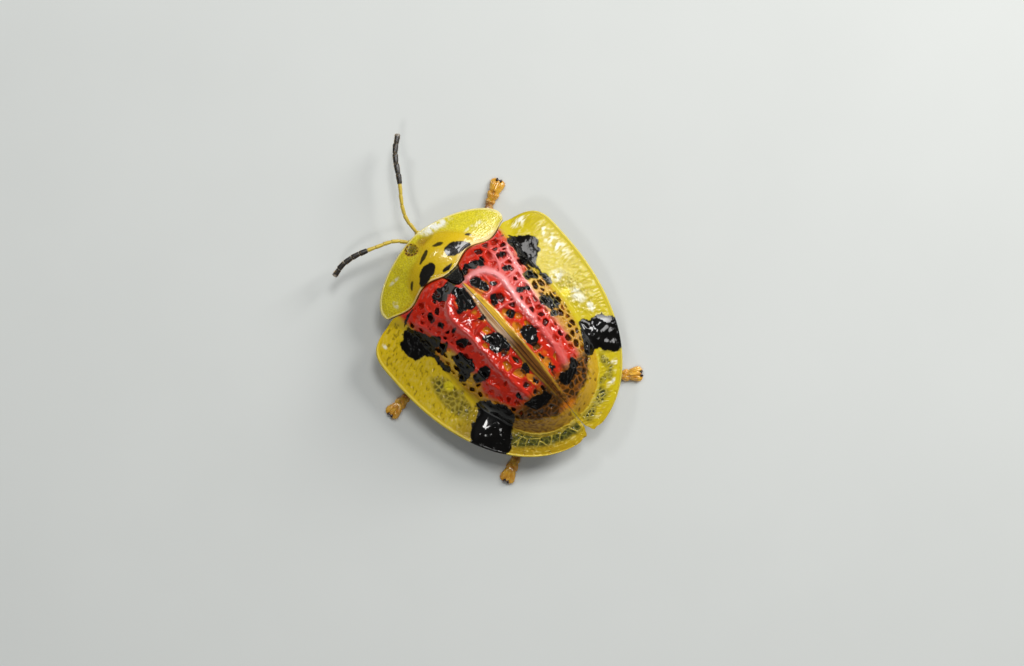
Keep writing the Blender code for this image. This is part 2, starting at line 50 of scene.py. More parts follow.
shieldLow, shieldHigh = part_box("pronotum")
origin = np.array([(shieldLow.x + shieldHigh.x) / 2, shieldLow.y, 0.0])


# Sums on arrays

def smoothStep(low, high, value):
    share = np.clip((value - low) / (high - low), 0.0, 1.0)
    return share * share * (3.0 - 2.0 * share)


def fade(low, high, value):  # the smooth step upside down, from 1 to 0
    return 1 - smoothStep(low, high, value)


def bell(value, width):
    return np.exp(-((value / width) ** 2))


def smoothMax(a, b, softness):
    share = np.clip(0.5 + 0.5 * (a - b) / softness, 0.0, 1.0)
    return b + (a - b) * share + softness * share * (1.0 - share)


def scattered(i, j, seed):  # a repeatable number from 0 to 1 for each pair of whole numbers
    mixed = (i * 374761393 + j * 668265263 + seed * 974634777) & 0xFFFFFFFF
    mixed = ((mixed ^ (mixed >> 13)) * 1274126177) & 0xFFFFFFFF
    return ((mixed ^ (mixed >> 16)) & 0xFFFFFF) / 0xFFFFFF


def softNoise(x, y, size, seed):  # from -1 to 1, with bumps of the given size
    i, j = np.floor(x / size).astype(np.int64), np.floor(y / size).astype(np.int64)
    f, g = smoothStep(0, 1, x / size - i), smoothStep(0, 1, y / size - j)
    low = scattered(i, j, seed) * (1 - f) + scattered(i + 1, j, seed) * f
    high = scattered(i, j + 1, seed) * (1 - f) + scattered(i + 1, j + 1, seed) * f
    return 2 * (low * (1 - g) + high * g) - 1


def roughNoise(x, y, size, seed):
    return sum(softNoise(x, y, size / 2**k, seed + k) / 2**k for k in range(4)) / 1.6


# distance from the nearest wall of uneven cells, and a number for each cell
def cellsOf(x, y, size, seed, loose=0.7):
    u, v = x / size, y / (size * 0.87)
    i, j = np.floor(u).astype(np.int64), np.floor(v).astype(np.int64)
    first, second, own = np.full(x.shape, 9.0), np.full(x.shape, 9.0), np.zeros(x.shape)
    for di in (-2, -1, 0, 1, 2):
        for dj in (-1, 0, 1):
            a, b = i + di, j + dj
            centreU = a + 0.5 * (b % 2) + loose * (scattered(a, b, seed) - 0.5)
            centreV = b + 0.5 + loose * (scattered(a, b, seed + 1) - 0.5)
            away = np.hypot(u - centreU, v - centreV)
            second = np.where(away < first, first, np.minimum(second, away))
            own = np.where(away < first, scattered(a, b, seed + 2), own)
            first = np.minimum(first, away)
    return (second - first) * size / 2, own


def fromLine(x, y, stops):  # distance from the line through the stops
    nearest = np.full(x.shape, 99.0)
    for (ax, ay), (bx, by) in zip(stops, stops[1:]):
        length = max((bx - ax) ** 2 + (by - ay) ** 2, 1e-9)
        share = np.clip(((x - ax) * (bx - ax) + (y - ay) * (by - ay)) / length, 0, 1)
        nearest = np.minimum(nearest, np.hypot(x - ax - share * (bx - ax), y - ay - share * (by - ay)))
    return nearest


def fromOutline(x, y, corners):  # distance from a closed outline, negative inside it
    inside = np.zeros(x.shape, bool)
    corners = list(corners)
    for (ax, ay), (bx, by) in zip(corners, corners[1:] + corners[:1]):
        if by != ay:
            inside ^= ((ay > y) != (by > y)) & (x < ax + (y - ay) * (bx - ax) / (by - ay))
    away = fromLine(x, y, corners + corners[:1])
    return np.where(inside, -away, away)


def rounded(corners):  # the same outline with its corners cut off twice
    for _ in range(2):
        turned = []
        for (ax, ay), (bx, by) in zip(corners, corners[1:] + corners[:1]):
            turned += [(0.75 * ax + 0.25 * bx, 0.75 * ay + 0.25 * by),
                       (0.25 * ax + 0.75 * bx, 0.25 * ay + 0.75 * by)]
        corners = tuple(turned)
    return corners


def blots(x, y, outlines, soft, ragged, seed):  # 1 inside any of the outlines, with soft, uneven edges
    away = np.full(x.shape, 9.0)
    for corners in outlines:
        corners = rounded(corners)
        low, high = np.min(corners, 0) - 0.4, np.max(corners, 0) + 0.4
        near = (x > low[0]) & (x < high[0]) & (y > low[1]) & (y < high[1])
        away[near] = np.minimum(away[near], fromOutline(x[near], y[near], corners))
    return 1 - smoothStep(-soft, soft, away + ragged * roughNoise(x, y, 0.22, seed))


def curveThrough(stops, shares):  # points at these shares of the length of a smooth curve
    stops = np.array(stops, float)
    padded = np.vstack([2 * stops[0] - stops[1], stops, 2 * stops[-1] - stops[-2]])
    fine = []
    for i in range(1, len(padded) - 2):
        before, start, end, after = padded[i - 1 : i + 3]
        for t in np.linspace(0, 1, 24, endpoint=False):
            bend = 2 * before - 5 * start + 4 * end - after
            twist = -before + 3 * start - 3 * end + after
            fine.append(start + 0.5 * ((end - before) * t + bend * t**2 + twist * t**3))
    fine = np.array(fine + [stops[-1]])
    length = np.concatenate([[0], np.cumsum(np.linalg.norm(np.diff(fine, axis=0), axis=1))])
    wanted = np.array(shares) * length[-1]
    return np.stack([np.interp(wanted, length, fine[:, axis]) for axis in range(3)], -1)


# Shapes: points in millimetres, and blocks of faces that have the same number of corners

def outward(points, blocks):  # turns every face out if the closed shape is inside out
    volume = 0.0
    for block in blocks:
        first = points[block[:, 0]]
        for k in range(1, block.shape[1] - 1):
            volume += np.einsum("ij,ij->", first, np.cross(points[block[:, k]], points[block[:, k + 1]]))
    return points, [block[:, ::-1] for block in blocks] if volume < 0 else blocks


def together(shapes):
    points, blocks, before = [], [], 0
    for somePoints, someBlocks in shapes:
        points.append(somePoints)
        blocks += [block + before for block in someBlocks]
        before += len(somePoints)
    return np.concatenate(points), blocks


def gridQuads(index):
    return np.stack([index[:-1, :-1], index[:-1, 1:], index[1:, 1:], index[1:, :-1]], -1).reshape(-1, 4)


def sheetShape(x, y, upper, lower, skip):  # a thin closed sheet whose lower face is coarser by skip
    rows, columns = x.shape
    some = (slice(None, None, skip), slice(None, None, skip))
    top = np.stack([x, y, upper], -1)
    bottom = np.stack([x[some], y[some], lower[some]], -1)
    above = np.arange(rows * columns).reshape(rows, columns)
    below = rows * columns + np.arange(bottom.shape[0] * bottom.shape[1]).reshape(bottom.shape[:2])
    rim = []
    for high, low in ((above[0], below[0]), (above[:, -1], below[:, -1]),
                      (above[-1, ::-1], below[-1, ::-1]), (above[::-1, 0], below[::-1, 0])):
        for k in range(len(low) - 1):
            rim.append([*high[k * skip : (k + 1) * skip + 1][::-1], low[k], low[k + 1]])
    blocks = [gridQuads(above), gridQuads(below)[:, ::-1], np.array(rim)]
    return outward(np.concatenate([top.reshape(-1, 3), bottom.reshape(-1, 3)]), blocks)


def onSheet(values, skip):  # the same values for the points of both faces of a sheet
    return np.concatenate([values.ravel(), values[::skip, ::skip].ravel()])


def loftShape(rings, ends=None):  # a closed skin over rings of points, with a pole at each end
    rings = np.asarray(rings, float)
    count, sides = rings.shape[:2]
    ends = (rings[0].mean(0), rings[-1].mean(0)) if ends is None else ends
    points = np.concatenate([rings.reshape(-1, 3), np.array(ends, float)])
    index = np.arange(count * sides).reshape(count, sides)
    index = np.concatenate([index, index[:, :1]], 1)
    first, last = count * sides, count * sides + 1
    start = np.stack([np.full(sides, first), index[0, 1:], index[0, :-1]], -1)
    finish = np.stack([np.full(sides, last), index[-1, :-1], index[-1, 1:]], -1)
    return outward(points, [gridQuads(index), start, finish])


def tubeShape(path, widths, sides, flatness=1.0, ridges=(0, 0.0)):  # a tube with rounded ends along a path
    path, widths = np.asarray(path, float), np.asarray(widths, float)
    ahead = np.gradient(path, axis=0)
    ahead /= np.linalg.norm(ahead, axis=1)[:, None]
    side = np.cross(ahead, (0.0, 0.0, 1.0))
    side /= np.linalg.norm(side, axis=1)[:, None]
    up = np.cross(side, ahead)
    turn = 2 * math.pi * (np.arange(sides) + 0.5) / sides
    lifts = (28, 55, 80)

    def endRing(i, sign, lift):  # a smaller ring beyond an end, which rounds it
        shrink, out = math.cos(math.radians(lift)), math.sin(math.radians(lift)) * 0.5
        return path[i] + sign * ahead[i] * widths[i] / 2 * out, shrink * widths[i], i

    rings = [endRing(0, -1, lift) for lift in lifts[::-1]]
    rings += [(path[i], widths[i], i) for i in range(len(path))]
    rings += [endRing(len(path) - 1, 1, lift) for lift in lifts]
    loops = []
    for middle, width, i in rings:
        across = np.cos(turn)[:, None] * side[i] + flatness * np.sin(turn)[:, None] * up[i]
        across = across * (1 + ridges[1] * np.cos(ridges[0] * turn + 0.6))[:, None]
        loops.append(middle + across * width / 2)
    return loftShape(loops)


def orbShape(surface, rings, sides):  # surface gives points for unit directions, poles included
    tilt = np.linspace(0, math.pi, rings + 1)[1:-1, None]
    turn = 2 * math.pi * np.arange(sides)[None, :] / sides
    way = np.stack([np.sin(tilt) * np.cos(turn), np.sin(tilt) * np.sin(turn), np.cos(tilt) + 0 * turn], -1)
    ends = surface(np.array([[0.0, 0.0, 1.0], [0.0, 0.0, -1.0]]))
    return loftShape(surface(way.reshape(-1, 3)).reshape(way.shape), ends)


def addObject(name, data):
    obj = bpy.data.objects.new(name, data)
    bpy.context.scene.collection.objects.link(obj)
    return obj


def makeObject(name, shape, paint, attributes=None, sharp=62):
    points, blocks = shape
    mesh = bpy.data.meshes.new(name)
    sizes = np.concatenate([np.full(len(block), block.shape[1]) for block in blocks])
    corners = np.concatenate([block.ravel() for block in blocks])
    mesh.vertices.add(len(points))
    mesh.vertices.foreach_set("co", (points * millimetre + origin).astype(np.float32).ravel())
    mesh.loops.add(len(corners))
    mesh.loops.foreach_set("vertex_index", corners.astype(np.int32))
    mesh.polygons.add(len(sizes))
    mesh.polygons.foreach_set("loop_start", np.concatenate([[0], np.cumsum(sizes)[:-1]]).astype(np.int32))
    mesh.update(calc_edges=True)
    mesh.shade_smooth()
    mesh.set_sharp_from_angle(angle=math.radians(sharp))
    for key, values in (attributes or {}).items():
        mesh.attributes.new(key, "FLOAT", "POINT").data.foreach_set("value", values.astype(np.float32))
    mesh.materials.append(paint)
    return addObject(name, mesh)


def settle(obj, slot, *nodes):  # every piece rides on the one body, and stands for its solids
    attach(obj, "root")
    if nodes:
        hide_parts(*nodes)
    return obj


# Node trees: a wire is one socket, and sums on wires add Math nodes

class Wire:
    def __init__(self, maker, socket):
        self.maker, self.socket = maker, socket

    def sum(self, operation, a, b=None):
        return self.maker.add("ShaderNodeMath", {"operation": operation}, {0: a} if b is None
                              else {0: a, 1: b})

    def __add__(self, other):
        return self.sum("ADD", self, other)

    def __radd__(self, other):
        return self.sum("ADD", other, self)

    def __sub__(self, other):
        return self.sum("SUBTRACT", self, other)

    def __rsub__(self, other):
        return self.sum("SUBTRACT", other, self)

    def __mul__(self, other):
        return self.sum("MULTIPLY", self, other)

    def __rmul__(self, other):
        return self.sum("MULTIPLY", other, self)

    def __pow__(self, other):
        return self.sum("POWER", self, other)

    def __gt__(self, other):
        return self.sum("GREATER_THAN", self, other)

    def __lt__(self, other):
        return self.sum("LESS_THAN", self, other)

    def atLeast(self, other):
        return self.sum("MAXIMUM", self, other)


class Maker:
    def __init__(self, tree):
        self.tree = tree

    def add(self, kind, settings=None, sockets=None, output=0):
        node = self.tree.nodes.new(kind)
        for key, value in (settings or {}).items():
            setattr(node, key, value)
        for key, value in (sockets or {}).items():
            self.feed(node.inputs[key], value)
        return Wire(self, node.outputs[output])

    def feed(self, socket, value):
        if isinstance(value, Wire):
            self.tree.links.new(value.socket, socket)
        elif isinstance(value, tuple) and len(value) == 3 and socket.type == "RGBA":
            socket.default_value = (*value, 1)
        else:
            socket.default_value = value


class Paint(Maker):  # a material under way
    def __init__(self, name):
        self.made = bpy.data.materials.new(name)
        self.made.use_nodes = True
        super().__init__(self.made.node_tree)
        self.shader = self.tree.nodes["Principled BSDF"]
        self.here = self.add("ShaderNodeTexCoord", output="Object")

    def noise(self, size, detail=3.0):  # bumps of a size in millimetres, 0 to 1
        values = {"Vector": self.here, "Scale": 1 / (size * millimetre), "Detail": detail, "Roughness": 0.55}
        return self.add("ShaderNodeTexNoise", {}, values)

    def cells(self, size):  # distance from the walls of cells of a size in millimetres
        values = {"Vector": self.here, "Scale": 1 / (size * millimetre)}
        return self.add("ShaderNodeTexVoronoi", {"feature": "DISTANCE_TO_EDGE"}, values)

    def band(self, value, low, high, start=0.0, end=1.0):  # a smooth step from start to end
        values = {"Value": value, 1: low, 2: high, 3: start, 4: end}
        return self.add("ShaderNodeMapRange", {"interpolation_type": "SMOOTHSTEP"}, values)

    def read(self, name):
        return self.add("ShaderNodeAttribute", {"attribute_name": name}, output="Fac")

    def mix(self, a, b, share):  # b over a, by its share
        return self.add("ShaderNodeMix", {"data_type": "RGBA"}, {0: share, 6: a, 7: b}, output=2)

    def bump(self, height, depth, strength=1.0, under=None):  # depth in millimetres
        values = {"Height": height, "Distance": depth * millimetre, "Strength": strength}
        if under is not None:
            values["Normal"] = under
        return self.add("ShaderNodeBump", {}, values)

    def finish(self, **sockets):
        names = {"colour": "Base Color", "roughness": "Roughness", "alpha": "Alpha", "normal": "Normal",
                 "coat": "Coat Weight", "coatRoughness": "Coat Roughness",
                 "index": "IOR", "glow": "Subsurface Weight", "glowScale": "Subsurface Scale",
                 "shine": "Specular IOR Level"}
        for key, value in sockets.items():
            self.feed(self.shader.inputs[names[key]], value)
        return self.made


def growTree(name, inputs, build):  # a Geometry Nodes tree with named inputs
    tree = bpy.data.node_groups.new(name, "GeometryNodeTree")
    tree.interface.new_socket("Geometry", in_out="INPUT", socket_type="NodeSocketGeometry")
    tree.interface.new_socket("Geometry", in_out="OUTPUT", socket_type="NodeSocketGeometry")
    for label, kind, value in inputs:
        item = tree.interface.new_socket(label, in_out="INPUT", socket_type="NodeSocket" + kind)
        if value is not None:
            item.default_value = value
    maker = Maker(tree)
    start = tree.nodes.new("NodeGroupInput")
    result = build(maker, {socket.name: Wire(maker, socket) for socket in start.outputs if socket.name})
    end = tree.nodes.new("NodeGroupOutput")
    maker.feed(end.inputs[0], result)
    return tree


def grown(name, base, tree, values):  # what the tree makes of the base object, as a new plain mesh
    identifiers = {item.name: item.identifier for item in tree.interface.items_tree
                   if item.in_out == "INPUT"}
    modifier = base.modifiers.new("grow", "NODES")
    modifier.node_group = tree
    for label, value in values.items():
        modifier[identifiers[label]] = value
    bpy.context.view_layer.update()
    graph = bpy.context.evaluated_depsgraph_get()
    mesh = bpy.data.meshes.new_from_object(base.evaluated_get(graph))
    base.modifiers.remove(modifier)
    mesh.name = name
    return addObject(name, mesh)


def discard(obj):
    bpy.data.objects.remove(obj)


# Camera and light

view = {"distance": 90.0, "frameWidth": 48.3, "tilt": 3.5, "target": (0.0, 6.21, 2.2), "shift": 0.41,
        "right": (-0.7489, 0.6627, 0.0)}


def makeCamera():
    tilt = math.radians(view["tilt"])
    back = Vector((math.sin(tilt), 0.0, math.cos(tilt)))
    right = Vector(view["right"])
    right = (right - back * right.dot(back)).normalized()
    up = back.cross(right)
    target = Vector(view["target"]) + right * view["shift"]
    place = (target + back * view["distance"]) * millimetre + Vector(origin)
    data = bpy.data.cameras.new("camera")
    data.sensor_width = 36.0
    data.lens = 36.0 * view["distance"] / view["frameWidth"]
    data.clip_start, data.clip_end = 0.001, 20.0
    camera = addObject("camera", data)
    turn = Matrix((right, up, back)).transposed().to_4x4()
    camera.matrix_world = Matrix.Translation(place) @ turn
    bpy.context.scene.camera = camera


lights = {
    "skyPanel": {"from": (-122.0, 10.0, 82.0), "size": (52.0, 76.0), "power": 0.18,
                 "colour": (1.0, 0.985, 0.97)},
    "highWindow": {"from": (-48.0, -30.0, 136.0), "size": (34.0, 40.0), "power": 0.078,
                   "colour": (1.0, 1.0, 1.0)},
    "frontWindow": {"from": (-14.0, -98.0, 112.0), "size": (19.0, 24.0), "power": 0.03,
                    "colour": (1.0, 1.0, 1.0)},
    "leftWindow": {"from": (64.0, 36.0, 126.0), "size": (18.0, 24.0), "power": 0.026,
                   "colour": (1.0, 0.99, 0.96)},
}
worldLight = {"colour": (0.86, 0.9, 0.95), "strength": 0.12}


def makeLights():
    aim = Vector((0.0, 6.0, 2.0))
    for name, one in lights.items():
        data = bpy.data.lights.new(name, "AREA")
        data.shape = "RECTANGLE"
        data.size, data.size_y = (length * millimetre for length in one["size"])
        data.energy, data.color = one["power"], one["colour"]
        lamp = addObject(name, data)
        away = Vector(one["from"]) - aim
        lamp.rotation_euler = away.to_track_quat("Z", "Y").to_euler()
        lamp.location = Vector(one["from"]) * millimetre + Vector(origin)
    world = bpy.data.worlds.new("studio")
    bpy.context.scene.world = world
    world.use_nodes = True
    air = world.node_tree.nodes["Background"]
    air.inputs["Color"].default_value = (*worldLight["colour"], 1)
    air.inputs["Strength"].default_value = worldLight["strength"]


floor = {"half": 500.0, "colour": (0.63, 0.65, 0.63), "patchy": (0.59, 0.61, 0.59)}


def makeFloor():
    paint = Paint("paleFloor")
    colour = paint.mix(floor["colour"], floor["patchy"], paint.noise(9.0))
    made = paint.finish(colour=colour, roughness=0.7)
    half = floor["half"]
    corners = np.array([(-half, -half, 0), (half, -half, 0), (half, half, 0), (-half, half, 0)], float)
    obj = makeObject("floor", (corners, [np.array([[0, 1, 2, 3]])]), made)


# Form of the shell, the same sums as for the solids

shell = {
    "halfWidth": 5.36, "widestY": 4.8, "frontReach": 2.55, "rearReach": 7.78,
    "frontSquareness": 5.0, "rearSquareness": 2.1, "shoulderInnerX": 3.9, "apexInnerX": 0.32,
    "apexY": 12.42, "scutellumTipY": 3.2, "notchX": 0.52, "edgeZ": 1.55, "rise": 1.95,
    "discHalfWidth": 3.3, "discCentreY": 5.5, "discRearReach": 5.75, "discSquareness": 2.4,
    "discRoundness": 2.6, "discBaseZ": 2.15, "discHeight": 2.4, "humpY": 4.4, "humpHeight": 0.18,
    "humpToBase": 1.9, "baseDrop": 1.05, "gutter": 0.16, "knob": (2.9, 3.3, 0.5, 0.2),
}
shield = {
    "halfWidth": 3.72, "cornerY": 1.8, "squareness": 1.65, "frontZ": 2.4, "cornerDrop": 0.8,
    "rise": 0.6, "dome": 0.36, "rearShare": 0.965, "sideBulge": 0.06,
}
seam = {"y": 2.32, "wave": 0.17, "wavelength": 2.5, "crestX": 2.55}


def seamY(x):
    return seam["y"] + seam["wave"] * np.cos(2 * math.pi * (np.abs(x) - seam["crestX"]) / seam["wavelength"])


def marginRadius(x, y):  # 1 on the outer edge of the wing cases
    front = y < shell["widestY"]
    reach = np.where(front, shell["frontReach"], shell["rearReach"])
    power = np.where(front, shell["frontSquareness"], shell["rearSquareness"])
    across, along = np.abs(x) / shell["halfWidth"], np.abs(y - shell["widestY"]) / reach
    return (across**power + along**power) ** (1 / power)


def discRadius(x, y):  # 1 where the raised disc meets the flat margin
    power = shell["discSquareness"]
    along = np.maximum(y - shell["discCentreY"], 0.0) / shell["discRearReach"]
    return ((np.abs(x) / shell["discHalfWidth"]) ** power + along**power) ** (1 / power)


def elytraZ(x, y):
    before = np.maximum(shell["humpY"] - y, 0.0) / shell["humpToBase"]
    ridge = shell["discHeight"] + shell["humpHeight"] * np.exp(-((y - shell["humpY"]) ** 2))
    ridge = ridge - shell["baseDrop"] * before**1.6
    disc = shell["discBaseZ"] + ridge * (1 - discRadius(x, y) ** shell["discRoundness"])
    margin = shell["edgeZ"] + shell["rise"] * np.minimum(1 - marginRadius(x, y), 0.42)
    knobX, knobY, knobRadius, knobHeight = shell["knob"]
    away = ((np.abs(x) - knobX) ** 2 + (y - knobY) ** 2) / knobRadius**2
    return smoothMax(disc, margin, shell["gutter"]) + knobHeight * np.exp(-away)


def pronotumZ(x, y):
    across = np.abs(x) / shield["halfWidth"]
    along = np.maximum(shield["cornerY"] - y, 0.0) / shield["cornerY"]
    power = shield["squareness"]
    inward = 1 - (across**power + along**power) ** (2 / power)
    dome = shield["dome"] * np.exp(-((x / 1.75) ** 4) - ((y - 1.95) / 1.15) ** 4)
    edge = shield["frontZ"] - shield["cornerDrop"] * across**1.6
    return edge + shield["rise"] * np.maximum(inward, 0.0) + dome


def outerEdge(shares):  # points on the outer edge of a wing case, from shoulder to apex
    frontPower, rearPower = 2 / shell["frontSquareness"], 2 / shell["rearSquareness"]
    shoulder = math.acos((shell["shoulderInnerX"] / shell["halfWidth"]) ** (1 / frontPower))
    apex = math.acos((shell["apexInnerX"] / shell["halfWidth"]) ** (1 / rearPower))
    front, rear = np.linspace(shoulder, 0, 200), np.linspace(0, apex, 500)[1:]
    x = shell["halfWidth"] * np.concatenate([np.cos(front) ** frontPower, np.cos(rear) ** rearPower])
    frontY = shell["widestY"] - shell["frontReach"] * np.sin(front) ** frontPower
    rearY = shell["widestY"] + shell["rearReach"] * np.sin(rear) ** rearPower
    y = np.concatenate([frontY, rearY])
    length = np.concatenate([[0], np.cumsum(np.hypot(np.diff(x), np.diff(y)))])
    return np.interp(shares, length / length[-1], x), np.interp(shares, length / length[-1], y)


# Wing cases

wingCase = {
    "rows": 372, "discColumns": 156, "marginColumns": 84, "skip": 4, "discShare": 0.6,
    "sutureX": 0.012, "apexNotch": 0.17, "discThickness": 0.26, "marginThickness": 0.13,
    "edgeThickness": 0.07,
    "largeCells": 0.52, "smallCells": 0.47, "pitDepth": 0.17, "beadHeight": 0.045, "wrinkle": 0.009,
    "cellSize": 0.55, "beltCells": 0.27, "bulge": 0.12,
    "widePitsTo": 1.42,  # the larger pits lie between the suture and this X
    "clouds": {  # pale patches of painted sheen, glare painted on the margin: place and reach
        "left": ((3.2, 8.15, 0.12, 0.2), (4.6, 3.0, 0.12, 0.2)),
        "right": ((3.72, 5.8, 0.52, 0.36), (3.85, 7.1, 0.34, 0.6), (4.0, 8.1, 0.2, 0.4),
                  (4.7, 4.6, 0.42, 1.3),
                  (4.2, 2.75, 0.6, 0.22), (3.05, 10.75, 0.34, 0.2), (2.35, 11.3, 0.3, 0.14)),
    },
}
ridgeLines = (  # stops of each raised line on one wing case, its height and half width
    (((0.06, 3.15), (0.5, 3.2), (0.9, 3.32), (1.2, 3.52), (1.4, 3.85), (1.5, 4.25), (1.5, 4.6), (1.42, 5.2),
      (1.38, 6.0), (1.36, 7.0), (1.33, 7.8), (1.26, 8.6), (1.1, 9.3)), 0.15, 0.19),
    (((2.75, 3.3), (2.6, 3.9), (2.5, 4.3), (2.35, 4.9), (2.25, 5.6), (2.2, 6.4), (2.15, 7.2), (2.05, 8.0)),
     0.11, 0.14),
    (((0.2, 4.46), (0.8, 4.43), (1.45, 4.48)), 0.06, 0.12),
    (((0.45, 5.26), (0.9, 5.3), (1.4, 5.5)), 0.06, 0.08),
    (((0.22, 3.5), (0.3, 3.95), (0.45, 4.35), (0.62, 4.42), (0.88, 4.3), (0.97, 3.9), (0.9, 3.5)), 0.06,
     0.06),
    (((1.5, 4.1), (1.85, 3.75), (2.05, 3.25), (2.0, 2.9)), 0.06, 0.07),
    (((2.05, 3.22), (2.4, 3.12), (2.75, 3.3)), 0.05, 0.07),
    (((1.9, 3.7), (2.3, 3.75), (2.6, 3.75)), 0.05, 0.06),
    (((1.5, 4.35), (1.9, 4.4), (2.5, 4.35)), 0.06, 0.07),
    (((1.42, 5.0), (1.9, 4.85), (2.35, 4.9)), 0.05, 0.06),
)
